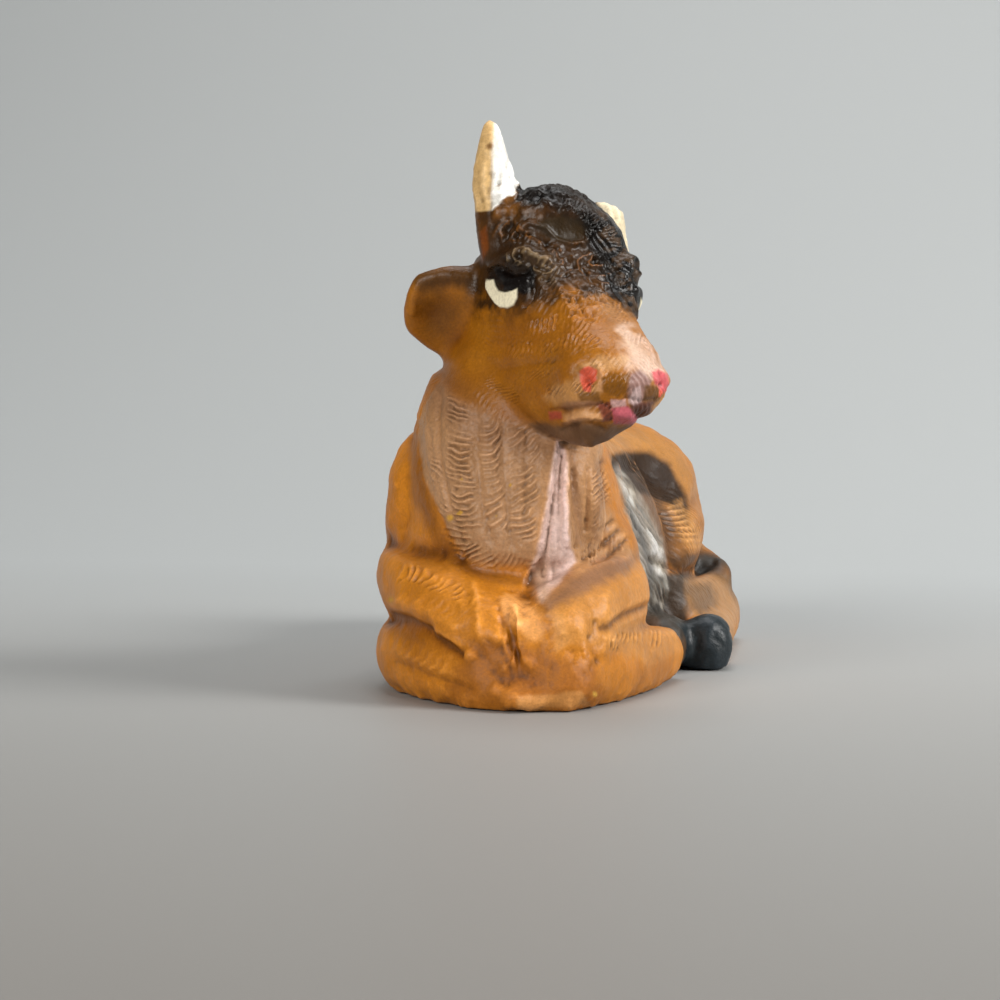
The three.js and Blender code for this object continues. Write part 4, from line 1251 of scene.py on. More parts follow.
@dataclass
class Painting:
    """The hand painting, with painted shade and painted highlights among its washes, laid on the skin in the order of
    the washes.
    """

    washes: tuple[Wash, ...] = (
        Wash(trace("470 252, 490 212, 560 202, 622 232, 644 300, 630 316, 604 302, 576 296, 552 302, 524 316, "
            "484 310, 470 282"), UMBER, 22, CHEEKS, 0.97, 8),
        Wash(trace("474 250, 484 222, 494 230, 492 262, 480 290"), COCOA, 7, CHEEKS, 0.8, 4),
        Wash(trace("480 232, 486 226, 488 248, 482 262"), mixed(150, 74, 10), 2.4, CHEEKS, 0.5, 4),
        Wash(trace("404 274, 440 266, 476 264, 484 292, 450 284, 420 292"), COCOA, 8, CHEEKS, 0.85, 4),
        Wash(trace("414 300, 440 292, 462 306, 450 340, 424 334"), COCOA, 12, CHEEKS, 0.45, 3),
        Wash(trace("500 318, 560 300, 600 306, 618 322, 598 340, 540 350, 490 350"), AMBER, 12, CHEEKS, 0.5, 6),
        Wash(OVAL, mixed(44, 31, 12, 0.26), 4, HEAD, 0.95),
        Wash(trace("583 214, 600 224, 624 262, 642 298, 636 316, 618 300, 602 274, 588 244"), PITCH, 5, HEAD, 0.95, 4),
        Wash(BROW, mixed(70, 52, 32, 0.26), 7, CHEEKS, 0.6, 6),
        Wash(trace("502 254, 520 258, 530 268, 518 274, 506 270"), PITCH, 5, CHEEKS, 0.6, 8),
        Wash(trace("604 250, 626 246, 642 262, 642 292, 628 298, 610 280"), PITCH, 5, HEAD, 0.9, 4),
        Wash(trace("543 594, 549 571, 583 558, 614 552, 629 558, 618 579, 583 594, "
            "549 609"), mixed(158, 110, 82), 5, FRONT, 0.75, 4),
        Wash(trace("600 296, 626 312, 648 344, 636 352, 616 328, 598 312"), SAND, 10, HEAD, 0.5, 4),
        Wash(trace("618 330, 630 328, 652 350, 670 372, 650 382, 634 374, "
            "626 356"), mixed(202, 170, 148), 10, HEAD, 0.9, 8),
        Wash(trace("542 396, 560 384, 582 380, 598 384, 602 400, 580 408, "
            "556 406"), mixed(196, 146, 92), 6, CHEEKS, 0.55, 8),
        Wash(trace("572 372, 584 362, 600 356, 626 356, 630 366, 612 371, 598 372, "
            "580 370"), mixed(192, 148, 100), 5, HEAD, 0.6, 7),
        Wash(trace("598 368, 604 374, 603 392, 597 390"), mixed(204, 150, 104), 2, CHEEKS, 0.6, 5),
        Wash(trace("566 401, 598 399, 604 406, 570 410, 560 408"), mixed(124, 88, 74), 3.4, HEAD, 0.6, 6),
        Wash(trace("602 378, 612 373, 632 374, 634 390, 618 397, "
            "604 392"), mixed(116, 70, 4, 0.24), 2.4, HEAD, 0.95, 5),
        Wash(trace("578 394, 598 392, 600 401, 580 402"), mixed(106, 64, 6, 0.26), 2.2, HEAD, 0.85, 5),
        Wash(trace("630 374, 640 370, 652 380, 648 396, 640 406, 628 404, "
            "628 390"), mixed(140, 108, 100), 2.6, HEAD, 0.9, 5),
        Wash(trace("634 388, 640 386, 641 402, 634 408, 629 400"), mixed(186, 160, 156), 1.8, HEAD, 0.85, 5),
        Wash(trace("645 386, 660 386, 664 396, 654 406, 642 400"), mixed(98, 62, 24), 2.6, HEAD, 0.9, 8),
        Wash(trace("630 405, 654 401, 650 414, 636 424, 628 416"), mixed(80, 46, 40), 2.6, HEAD, 0.9, 5),
        Wash(trace("597 404, 611 402, 613 420, 602 422"), mixed(112, 50, 40), 2, HEAD, 0.85, 5),
        Wash(trace("611 400, 626 399, 626 407, 612 408"), mixed(184, 146, 142), 1.6, HEAD, 0.85, 6),
        Wash(trace("611 408, 628 406, 638 419, 636 425, 614 424"), mixed(178, 84, 96), 1.6, HEAD, 0.95, 4),
        Wash(trace("549 412, 562 411, 563 419, 550 420"), mixed(156, 56, 46), 2, HEAD, 0.8, 5),
        Wash(trace("564 415, 580 411, 600 412, 602 420, 566 424"), mixed(200, 148, 100), 3.4, HEAD, 0.85, 6),
        # Dark brown chin, which also serves as painted shade under the jaw.
        Wash(trace("530 424, 545 422, 561 425, 578 422, 592 422, 606 426, 640 424, 655 410, 664 408, 640 444, "
            "590 450, 540 440"), mixed(88, 64, 46, 0.4), 5, HEAD, 0.9, 4),
        Wash(trace("580 371, 584 367, 590 366, 597 370, 597 380, 591 386, 590 392, 584 391, "
            "580 381"), CORAL, 1.3, CHEEKS, 0.92, 6),
        Wash(trace("651 372, 658 369, 668 374, 670 386, 664 393, 655 384"), mixed(190, 80, 84), 1.6, HEAD, 0.92, 5),
        Wash(trace("556 440, 602 446, 607 505, 628 541, 636 558, 602 560, 576 574, 562 560, "
            "566 500"), SAND, 7, FRONT, 0.9, 5),
        Wash(trace("566 446, 576 446, 580 500, 584 545, 574 545, 570 500"), PLUM, 4, FRONT, 0.4, 4),
        Wash(trace("594 460, 602 460, 606 500, 596 540, 590 530, 596 500"), PLUM, 4, FRONT, 0.35, 4),
        Wash(
            trace("557 440, 566 450, 567 500, 570 548, 576 562, 556 588, 542 602, 530 574, 541 535, 547 500, 552 470"),
            LILAC,
            3,
            FRONT,
            0.9,
            5,
        ),
        Wash(trace("536 556, 548 562, 548 604, 536 600, 528 580"), mixed(196, 158, 128), 6, FRONT, 0.6, 5),
        Wash(trace("545 596, 575 572, 612 560, 640 558, 660 600, 640 640, 600 650, "
            "560 640"), mixed(186, 126, 58), 9, FRONT, 0.8, 3),
        Wash(trace("545 600, 556 590, 580 570, 612 558, 638 556, 632 570, 598 586, 566 602, "
            "548 610"), mixed(128, 90, 62), 8, FRONT, 0.9, 4),
        Wash(trace("500 596, 516 592, 540 612, 544 640, 526 640, "
            "506 620"), mixed(222, 156, 88, 0.44), 6, FRONT, 0.7, 8),
        Wash(trace("548 614, 566 610, 572 640, 556 650"), mixed(210, 150, 84, 0.44), 6, FRONT, 0.5, 8),
        Wash(trace("612 620, 676 622, 684 650, 650 664, 610 652"), mixed(178, 124, 64), 8, FRONT, 0.6, 5),
        Wash(trace("470 640, 510 640, 600 668, 600 712, 480 712, "
            "440 700"), mixed(140, 80, 10, 0.52), 10, FRONT, 0.8, 5),
        Wash(trace("516 696, 580 692, 588 704, 520 710"), TAN, 3, FRONT, 0.5, 8),
        # Painted shade in the crease below the right forearm.
        Wash(trace("380 615, 440 630, 470 655, 440 650, 390 635"), AMBER, 8, FRONT, 0.7),
        # Painted shade in the crease along the top of the right forearm.
        Wash(trace("384 535, 420 545, 450 545, 480 570, 440 560, 390 550"), AMBER, 8, FRONT, 0.6),
        # Painted shade along the valley between neck and shoulder and along the foot of the dewlap.
        Wash(trace("416 420, 424 480, 442 530, 468 562, 500 572, 536 576, 536 586, 500 584, 464 574, 436 548, "
            "414 500, 408 440"), mixed(112, 64, 10), 5, FRONT, 0.6, 3),
        Wash(trace("600 430, 660 430, 700 470, 712 540, 700 556, 660 560, 640 540, "
            "600 460"), mixed(158, 106, 52), 8, FLANKS, 0.85, 4),
        # Painted highlight along the rump ridge over the flank.
        Wash(trace("600 440, 640 428, 680 450, 700 490, 690 500, 670 470, 640 452, "
            "606 454"), mixed(172, 120, 62), 6, FLANKS, 0.7, 6),
        # Painted shadow in the flank hollow under the hip, on both flanks.
        Wash(trace("600 458, 623 452, 647 452, 670 465, 687 498, 690 525, 682 522, 670 505, 653 500, 637 495, "
            "623 486, 612 472"), mixed(46, 26, 3, 0.4), 4, FLANKS, 1, 2),
        Wash(trace("632 490, 660 500, 672 512, 676 530, 672 560, 660 550, "
            "650 520"), mixed(92, 66, 44), 5, FLANKS, 0.85, 4),
        Wash(BELLY, GREY_HAIR, 4, FLANKS, 1, 5),
        # Painted highlight on the bulge of the thigh.
        Wash(trace("670 504, 682 500, 694 520, 706 545, 692 552, 676 536"), mixed(186, 134, 76), 5, FLANKS, 0.6, 8),
        Wash(trace("664 520, 676 524, 690 556, 672 560, 664 545"), mixed(92, 56, 18), 4, FLANKS, 0.6, 4),
        # Painted shadow in the crease under the thigh.
        Wash(trace("662 556, 690 552, 716 554, 718 570, 672 572"), mixed(70, 42, 9), 6, FLANKS, 0.95, 3),
        Wash(trace("655 574, 690 572, 692 590, 688 615, 684 640, 660 630"), SMOKE, 4, FLANKS, 0.95, 3),
        Wash(trace("686 574, 722 570, 744 590, 748 650, 726 654, 712 622, "
            "688 614"), mixed(166, 122, 76), 5, FLANKS, 0.95, 4),
        # Painted shade on the side of the hock turned from the lamp.
        Wash(trace("686 584, 712 582, 718 604, 702 616, 686 610"), mixed(104, 78, 52), 7, FLANKS, 0.8, 5),
    )
    chips: tuple[tuple[float, float, float], ...] = (
        (450.0, 518.0, 3.6),
        (460.0, 513.0, 2.2),
        (390.0, 600.0, 2.8),
        (462.0, 479.0, 1.4),
        (510.0, 485.0, 1.6),
        (594.0, 694.0, 2.4),
        (496.0, 516.0, 1.3),
    )
    fold: Path = trace("446 372, 430 396, 419 420, 419 445, 425 480, 434 508, 444 532, 456 552, 470 565, 500 573, "
        "534 576")
    belly_middle: Path = trace("606 462, 628 492, 648 530, 660 570, 660 600")
    horn_mark: Path = trace("460 211, 478 212, 496 210, 500 203, 507 197, 514 196, 517 186, 524 183, 530 100, 460 100")
    far_horn_edge: Path = trace("598 204, 605 214, 612 224, 618 236, 621 250, 622 264")
    horn_spots: tuple[tuple[float, float, float, float], ...] = ((490.0, 147.0, 3.4, 1.0), (499.0, 186.0, 1.6, 0.8))
    hoof_box: tuple[tuple[float, float, float], tuple[float, float, float]] = ((15.2, -5.4, -1.0), (24.0, 4.2, 8.0))

    def lay_on(self, skin: Skin, chart: Chart) -> None:
        """Paints the skin into its colour, gloss and lie attributes.

        Args:
            skin: The worked skin.
            chart: Its chart, on soft normals.
        """
        count = len(chart.points)
        p, own = chart.points, chart.own
        coat = Coat(np.tile(np.array(ORANGE.colour), (count, 1)), np.full(count, ORANGE.roughness))
        mottle = noise(p, 5.0, 101, 3)
        coat.lay(AMBER, 0.5 * smoothstep(-0.3, 0.6, mottle))
        coat.lay(TAN, 0.25 * smoothstep(14.0, 26.0, p[:, 2] + 3.0 * mottle) * smoothstep(-12.0, 0.0, p[:, 1]))
        coat.lay(FACE, chart.on_head)
        coat.lay(AMBER, 0.5 * chart.on_head * smoothstep(-0.2, 0.5, noise(p, 3.4, 105, 2)))
        behind = smoothstep(3.0, 9.0, own[:, 1]) * smoothstep(-4.0, 4.0, own[:, 2]) * chart.on_head
        coat.lay(UMBER, 0.6 * behind)
        front = 1.0 - smoothstep(95.0, 130.0, np.abs(chart.round_neck))
        ragged = chart.above_crease + 0.6 * noise(p, 3.0, 103, 2)
        throat = smoothstep(-0.4, 0.9, ragged) * (1.0 - smoothstep(-0.6, 0.9, chart.above_jaw + 0.5 * mottle))
        near = 1.0 - smoothstep(14.5, 18.0, np.hypot(p[:, 0] + 0.5, p[:, 1] + 25.0))
        gap, side, _ = path_offset(chart.spots, self.fold)
        side = smoothstep(-1.5, 1.5, 1.2 * noise(chart.spots, 9.0, 104, 2) - gap * side)
        side = np.where((chart.facing > 0) & (chart.spots[:, 0] < 540.0) & (chart.spots[:, 1] > 372.0), side, 1.0)
        coat.lay(MAUVE, throat * front * near * side)
        # Plum band just below the jaw line: painted shade under the jaw.
        under = 1.0 - smoothstep(-0.5, 3.5, chart.above_jaw + 0.5 * mottle)
        coat.lay(PLUM, 0.4 * under * smoothstep(-4.0, -1.0, chart.above_jaw) * front * near)
        left = smoothstep(-9.0, -5.0, p[:, 0])
        for index, wash in enumerate(self.washes):
            share = chart.inside(wash.ground, wash.outline, wash.soft)
            if wash.ground is FLANKS:
                share = share * left
            if wash.ragged:
                edge = 0.5 * wash.ragged * noise(p, 1.2, 110 + index, 3, share) * (1 - share) * share
                share = np.clip(share + edge, 0.0, 1.0)
            coat.lay(wash.pigment, wash.strength * share)
        self.paint_belly(chart, coat)
        self.paint_poll(chart, coat)
        self.paint_horns(chart, coat)
        coat.lay(mixed(15, 10, 8, 0.14), chart.inside(CHEEKS, EYE_BLACK, 2.4))
        self.paint_hind_feet(chart, coat)
        self.shade_and_weather(skin, chart, coat)
        coat.lay(mixed(238, 228, 198, 0.4), chart.inside(CHEEKS, EYE_WHITE, 0.8))
        mesh = skin.obj.data
        paint = mesh.color_attributes.new("paint", "FLOAT_COLOR", "POINT")
        rgba = np.concatenate([np.clip(coat.base, 0.0, 1.0), np.ones((count, 1))], 1).astype(np.float32)
        paint.data.foreach_set("color", rgba.ravel())
        shine = mesh.attributes.new("gloss", "FLOAT", "POINT")
        shine.data.foreach_set("value", np.clip(coat.gloss, 0.05, 1.0).astype(np.float32))
        lie = mesh.attributes.new("lie", "FLOAT_VECTOR", "POINT")
        lie.data.foreach_set("vector", skin.normals.astype(np.float32).ravel())

    def paint_belly(self, chart: Chart, coat: Coat) -> None:
        """White and blue-black strands in the long hair of the belly.

        Args:
            chart: Where things are on the skin.
            coat: The paint, changed in place.
        """
        spots = chart.flank_spots
        gap, side, _ = path_offset(spots, self.belly_middle)
        zone = chart.zone(FLANKS) * smoothstep(-0.1, 0.1, chart.flank_facing)
        offset = gap * side
        strand, lock = hair_of(spots, zone)
        light = np.exp(-(((offset + 3.0) / 9.0) ** 2)) * zone * chart.inside(FLANKS, BELLY, 3.0)
        dark = np.exp(-(((offset - 9.0) / 5.0) ** 2)) * zone * chart.inside(FLANKS, BELLY, 5.0)
        coat.lay(mixed(112, 110, 106, 0.5), 0.6 * light * smoothstep(0.6, 0.3, lock))
        coat.lay(WHITE, 0.75 * light * smoothstep(0.42, 0.7, lock))
        coat.lay(mixed(110, 84, 54, 0.5), 0.35 * light * smoothstep(0.5, 1.0, strand))
        coat.lay(SLATE, 0.7 * dark)

    def paint_poll(self, chart: Chart, coat: Coat) -> None:
        """Glossy black-brown over the hair tuft and the crown behind it.

        Args:
            chart: Where things are on the skin.
            coat: The paint, changed in place.
        """
        own = chart.own
        gap = path_offset(chart.spots, TUFT)[0]
        band = np.exp(-((gap / 13.0) ** 4)) * chart.on_head * smoothstep(-0.9, -0.3, chart.facing)
        band *= smoothstep(-6.2, -5.4, own[:, 0])
        rope = smoothstep(590.0, 604.0, chart.spots[:, 0]) * smoothstep(-0.1, 0.2, noise(chart.spots, 5.0, 133, 2))
        coat.lay(PITCH, 0.93 * band)
        far = smoothstep(600.0, 612.0, chart.spots[:, 0]) * smoothstep(306.0, 296.0, chart.spots[:, 1])
        coat.lay(PITCH, 0.92 * far * chart.on_head * smoothstep(-0.5, 0.0, chart.facing))
        coat.lay(mixed(96, 70, 44, 0.3), 0.4 * band * rope)
        crown = smoothstep(7.4, 9.0, own[:, 2] + 0.5 * noise(own, 1.5, 131, 2)) * smoothstep(3.0, 6.0, own[:, 1])
        coat.lay(PITCH, 0.9 * crown * (1 - smoothstep(4.5, 6.5, np.abs(own[:, 0]))))

    def paint_horns(self, chart: Chart, coat: Coat) -> None:
        """Cream and white horns above a brushed line; the white on the right horn's half towards the lamp is partly
        two-tone paint and partly painted highlight.

        Args:
            chart: Where things are on the skin.
            coat: The paint, changed in place.
        """
        own, spots = chart.own, chart.spots
        wiggle = 1.4 * noise(spots, 5.0, 141, 2)
        right = (own[:, 0] < -2.5) & (own[:, 1] > 1.0) & (own[:, 2] > 5.0)
        share = smoothstep(-0.8, 0.8, depth_inside(spots, self.horn_mark) + wiggle) * right
        coat.lay(CREAM, share)
        # White on the right horn's half that faces the lamp: partly two-tone paint, partly painted highlight.
        lit = smoothstep(-2.0, 2.0, spots[:, 0] - 492.5 - 2.0 * noise(spots * [1.0, 0.3], 6.0, 143, 2))
        coat.lay(WHITE, 0.9 * share * lit)
        left = (own[:, 0] > 5.2) & (own[:, 1] > 5.6)
        crescent = smoothstep(0.0, 0.3, own[:, 2] - 3.4 + 0.2 * noise(own, 1.2, 145, 2)) * left
        gap, side, _ = path_offset(spots, self.far_horn_edge)
        crescent *= np.where(chart.facing > -0.15, smoothstep(-1.5, 1.5, -gap * side), 1.0)
        coat.lay(mixed(78, 56, 34), left * smoothstep(2.2, 3.2, own[:, 2]) * (chart.facing > -0.15))
        coat.lay(mixed(206, 190, 156, 0.4), crescent)
        chip = np.zeros(len(spots))
        for x, y, reach, force in self.horn_spots:
            chip += force * np.exp(-((np.hypot(spots[:, 0] - x, spots[:, 1] - y) / reach) ** 4))
        coat.lay(mixed(120, 84, 40, 0.7), chip * share)

    def paint_hind_feet(self, chart: Chart, coat: Coat) -> None:
        """Blue-black hooves, the smoky feet under the belly and the dark tail tuft.

        Args:
            chart: Where things are on the skin.
            coat: The paint, changed in place.
        """
        p = chart.points
        low, high = (np.array(corner) for corner in self.hoof_box)
        inside = np.minimum(p - low, high - p).min(1) + 0.4 * noise(p, 1.2, 151, 2)
        foot = 1.0 - smoothstep(3.8, 4.8, np.hypot(p[:, 0] - 13.0, p[:, 2] - 3.6))
        foot *= smoothstep(-9.5, -8.5, p[:, 1]) * (1.0 - smoothstep(4.0, 7.0, p[:, 1]))
        coat.lay(SMOKE, 0.9 * foot * (p[:, 0] > 9.5))
        coat.lay(SLATE, smoothstep(-0.2, 0.5, inside))
        tip = np.exp(-(((p[:, 0] - 14.6) ** 2 + (p[:, 1] - 35.0) ** 2 + (p[:, 2] - 9.0) ** 2) / 16.0))
        coat.lay(SMOKE, 1.3 * tip)

    def shade_and_weather(self, skin: Skin, chart: Chart, coat: Coat) -> None:
        """Darker fine hollows, partly pooled paint and partly painted shade; painted shade in the wide creases; lighter
        ridges and swells, partly rubbed wear and partly painted highlight; and small chips down to the pressed mass.

        Args:
            skin: The worked skin.
            chart: Where things are on it.
            coat: The paint, changed in place.
        """
        base, gloss = coat.base, coat.gloss
        fine = np.stack([skin.blur(skin.points[:, k], 10) for k in range(3)], 1)
        wide = np.stack([skin.blur(fine[:, k], 60) for k in range(3)], 1)
        heights = np.einsum("ij,ij->i", skin.points - fine, skin.normals)
        swells = np.einsum("ij,ij->i", fine - wide, skin.normals)
        body = 1.0 - chart.on_head
        # Darkening of the fine hollows: partly pooled paint, partly painted shade.
        pooled_paint_and_shade = smoothstep(0.01, 0.1, -heights)
        # Lightening of the fine ridges: partly rubbed wear, partly painted highlight.
        ridge = smoothstep(0.02, 0.1, heights)
        # Darkening of the wide creases: painted shade.
        wide_crease_shade = smoothstep(0.02, 0.22, -swells)
        # Lightening of the large swells of the body: partly rubbed wear, partly painted highlight.
        proud = smoothstep(0.02, 0.25, swells) * body
        base *= (1.0 - 0.5 * pooled_paint_and_shade)[:, None]
        base *= 1.0 - (0.32 * wide_crease_shade)[:, None] * np.array([0.8, 1.0, 1.25])
        # The lighter tone of ridges and swells, standing for rubbed wear and painted highlight.
        rubbed_and_lit_tone = base * np.array([1.5, 1.55, 1.7]) + 0.12 * base.mean(1, keepdims=True) * np.array([1.0, 0.8, 0.6])
        base += np.clip((0.7 - 0.25 * chart.on_head) * ridge + 0.25 * proud, 0.0, 1.0)[:, None] * (rubbed_and_lit_tone - base)
        # Amber on the crests of the forehead curls: partly the orange ground coat, partly a painted highlight.
        curly = chart.inside(HEAD, FOREHEAD, 8.0) * (1.0 - chart.inside(HEAD, OVAL, 2.0))
        curly = 0.55 * curly * ridge * smoothstep(-0.5, 0.3, noise(chart.points, 2.5, 167, 2, curly))
        coat.lay(mixed(146, 88, 26, 0.3), curly)
        # Pale grey-brown on the crests of the curls over the near eye: a painted highlight.
        brow_crest_highlight = ridge * chart.inside(CHEEKS, BROW, 6.0) * (chart.spots[:, 0] < 590.0)
        coat.lay(mixed(160, 136, 102, 0.3), 0.42 * brow_crest_highlight)
        tone = noise(chart.points, 4.2, 161, 3)
        base *= 1.0 + (0.2 * tone)[:, None] * np.array([0.8, 1.0, 1.5])
        base *= (1.0 + 0.12 * noise(chart.points, 0.9, 165, 2))[:, None]
        gloss += 0.05 * noise(chart.points, 1.3, 163, 2)
        front = (chart.facing > 0.1) * (1 - chart.on_head) * (chart.points[:, 1] < -10.0)
        for x, y, reach in self.chips:
            far = np.hypot(chart.spots[:, 0] - x, chart.spots[:, 1] - y) + 0.8 * noise(chart.spots, 3.0, 171, 2)
            coat.lay(BARE, np.exp(-((np.maximum(far, 0) / reach) ** 4)) * front)


# Finishes


@dataclass
class Wiring:
    """The node tree of one new material."""

    name: str

    def __post_init__(self) -> None:
        """Adds the material and finds its shader."""
        self.material = bpy.data.materials.new(self.name)
        self.material.use_nodes = True
        self.tree = self.material.node_tree
        self.shader = self.tree.nodes["Principled BSDF"]

    def add(self, kind: str, **inputs: float) -> bpy.types.Node:
        """Adds a node.

        Args:
            kind: Its type, without the usual start.
            **inputs: The values of its inputs by name, with _ for a space.

        Returns:
            The node.
        """
        node = self.tree.nodes.new("ShaderNode" + kind)
        for name, value in inputs.items():
            node.inputs[name.replace("_", " ")].default_value = value
        return node

    def join(self, source: bpy.types.Node, output: str, target: bpy.types.Node, entry: str | int) -> None:
        """Links an output of a node to an input of another."""
        self.tree.links.new(source.outputs[output], target.inputs[entry])

    def grains(self, width: float, detail: float, roughness: float = 0.5) -> bpy.types.Node:
        """Adds a noise on the piece's own place.

        Args:
            width: The width of its largest grains, in millimetres.
            detail: How many finer grains are added.
            roughness: How strong they are.

        Returns:
            The noise node.
        """
        node = self.add("TexNoise", Scale=1.0 / (width * MM), Detail=detail, Roughness=roughness)
        self.join(self.add("TexCoord"), "Object", node, "Vector")
        return node

    def raise_by(self, source: bpy.types.Node, strength: float, height: float) -> None:
        """Lets a noise bump the surface by a height in millimetres."""
        bump = self.add("Bump", Strength=strength, Distance=height * MM)
        self.join(source, "Fac", bump, "Height")
        self.join(bump, "Normal", self.shader, "Normal")


@dataclass(frozen=True)
class PaintedFinish:
    """Hand paint over pressed composition: colours and gloss from the painting, and the grain of the brush."""

    name: str
    grain: float = 0.3
    bump: float = 0.5
    bump_height: float = 0.12
    speck: float = 0.16
    dulling: float = 0.16
    sheen: float = 0.3

    def build(self) -> bpy.types.Material:
        """Builds the material.

        Returns:
            The material, which reads the paint and gloss of a piece.
        """
        wiring = Wiring(self.name)
        shader = wiring.shader
        colour, shine = wiring.add("Attribute"), wiring.add("Attribute")
        colour.attribute_name, shine.attribute_name = "paint", "gloss"
        speckle = wiring.grains(self.grain, 4.0, 0.6)
        tone = wiring.add("MapRange", From_Min=0.3, From_Max=0.7, To_Min=1.0 - self.speck, To_Max=1.0 + self.speck)
        wiring.join(speckle, "Fac", tone, "Value")
        shade = wiring.add("VectorMath")
        shade.operation = "SCALE"
        wiring.join(colour, "Color", shade, 0)
        wiring.join(tone, "Result", shade, "Scale")
        wiring.join(shade, "Vector", shader, "Base Color")
        dull = wiring.add("Math")
        dull.operation = "MULTIPLY_ADD"
        dull.inputs[1].default_value = self.dulling
        wiring.join(speckle, "Fac", dull, 0)
        wiring.join(shine, "Fac", dull, 2)
        wiring.join(dull, "Value", shader, "Roughness")
        wiring.raise_by(speckle, self.bump, self.bump_height)
        shader.inputs["Specular IOR Level"].default_value = self.sheen
        return wiring.material


@dataclass(frozen=True)
class PlainFinish:
    """A mottled finish for what isn't hand painted: bare mass and wire."""

    name: str
    colour: Colour
    mottle: float = 0.12
    grain: float = 0.8
    roughness: float = 0.7
    metallic: float = 0.0
    bump: float = 0.2
    bump_height: float = 0.1

    def build(self) -> bpy.types.Material:
        """Builds the material.

        Returns:
            The material.
        """
        wiring = Wiring(self.name)
        shader = wiring.shader
        grains = wiring.grains(self.grain, 5.0)
        ramp = wiring.add("ValToRGB")
        for element, place, force in zip(ramp.color_ramp.elements, (0.3, 0.7), (1.0 - self.mottle, 1.0 + self.mottle)):
            element.position = place
            element.color = (*(min(1.0, c * force) for c in self.colour), 1.0)
        wiring.join(grains, "Fac", ramp, "Fac")
        wiring.join(ramp, "Color", shader, "Base Color")
        wiring.raise_by(grains, self.bump, self.bump_height)
        shader.inputs["Roughness"].default_value = self.roughness
        shader.inputs["Metallic"].default_value = self.metallic
        return wiring.material


@dataclass(frozen=True)
class PaperFinish:
    """The plain grey of the sweep, darker on the front floor and a little lighter towards the backdrop, as a painted
    falloff of the light.
    """

    # Darker near the front, lighter far back: painted falloff of the light over the sweep.
    near: Colour = linear(122, 119, 115)
    far: Colour = linear(182, 185, 185)
    start: float = -0.17
    end: float = 0.16
    roughness: float = 0.55

    def build(self) -> bpy.types.Material:
        """Builds the material.

        Returns:
            The material.
        """
        wiring = Wiring("sweep_paper")
        split = wiring.add("SeparateXYZ")
        wiring.join(wiring.add("TexCoord"), "Object", split, 0)
        share = wiring.add("MapRange", From_Min=self.start, From_Max=self.end)
        wiring.join(split, "Y", share, "Value")
        ramp = wiring.add("ValToRGB")
        for element, colour in zip(ramp.color_ramp.elements, (self.near, self.far)):
            element.color = (*colour, 1.0)
        wiring.join(share, "Result", ramp, "Fac")
        wiring.join(ramp, "Color", wiring.shader, "Base Color")
        wiring.shader.inputs["Roughness"].default_value = self.roughness
        return wiring.material


class Finish(Enum):
    """The finishes by the name of their slot."""

    COAT = "coat_paint"
    DEWLAP = "dewlap_paint"
    HEAD = "head_paint"
    HORN = "horn_paint"
    HOOF = "hoof_paint"
    MASS = "bare_composition"
    WIRE = "wire"


@dataclass
class Palette:
    """All materials, built once."""

    made: dict[Finish, bpy.types.Material] = field(default_factory=dict)

    def build(self) -> None:
        """Builds each finish."""
        for kind in (Finish.COAT, Finish.DEWLAP, Finish.HEAD, Finish.HORN, Finish.HOOF):
            self.made[kind] = PaintedFinish(kind.value).build()
        self.made[Finish.MASS] = PlainFinish("bare_composition", BARE.colour, 0.25, 0.7, 0.85).build()
        self.made[Finish.WIRE] = PlainFinish("wire", (0.5, 0.5, 0.49), 0.1, 0.3, 0.35, 1.0, 0.05).build()


# Parting


@dataclass(frozen=True)
class Part:
    """One piece of the figure: the node that it stands for, its finish, and how far it reaches round that node."""

    node: str
    finish: Finish
    reach: float = 1.6
    front: tuple[tuple[float, float, float], tuple[float, float, float]] | None = None


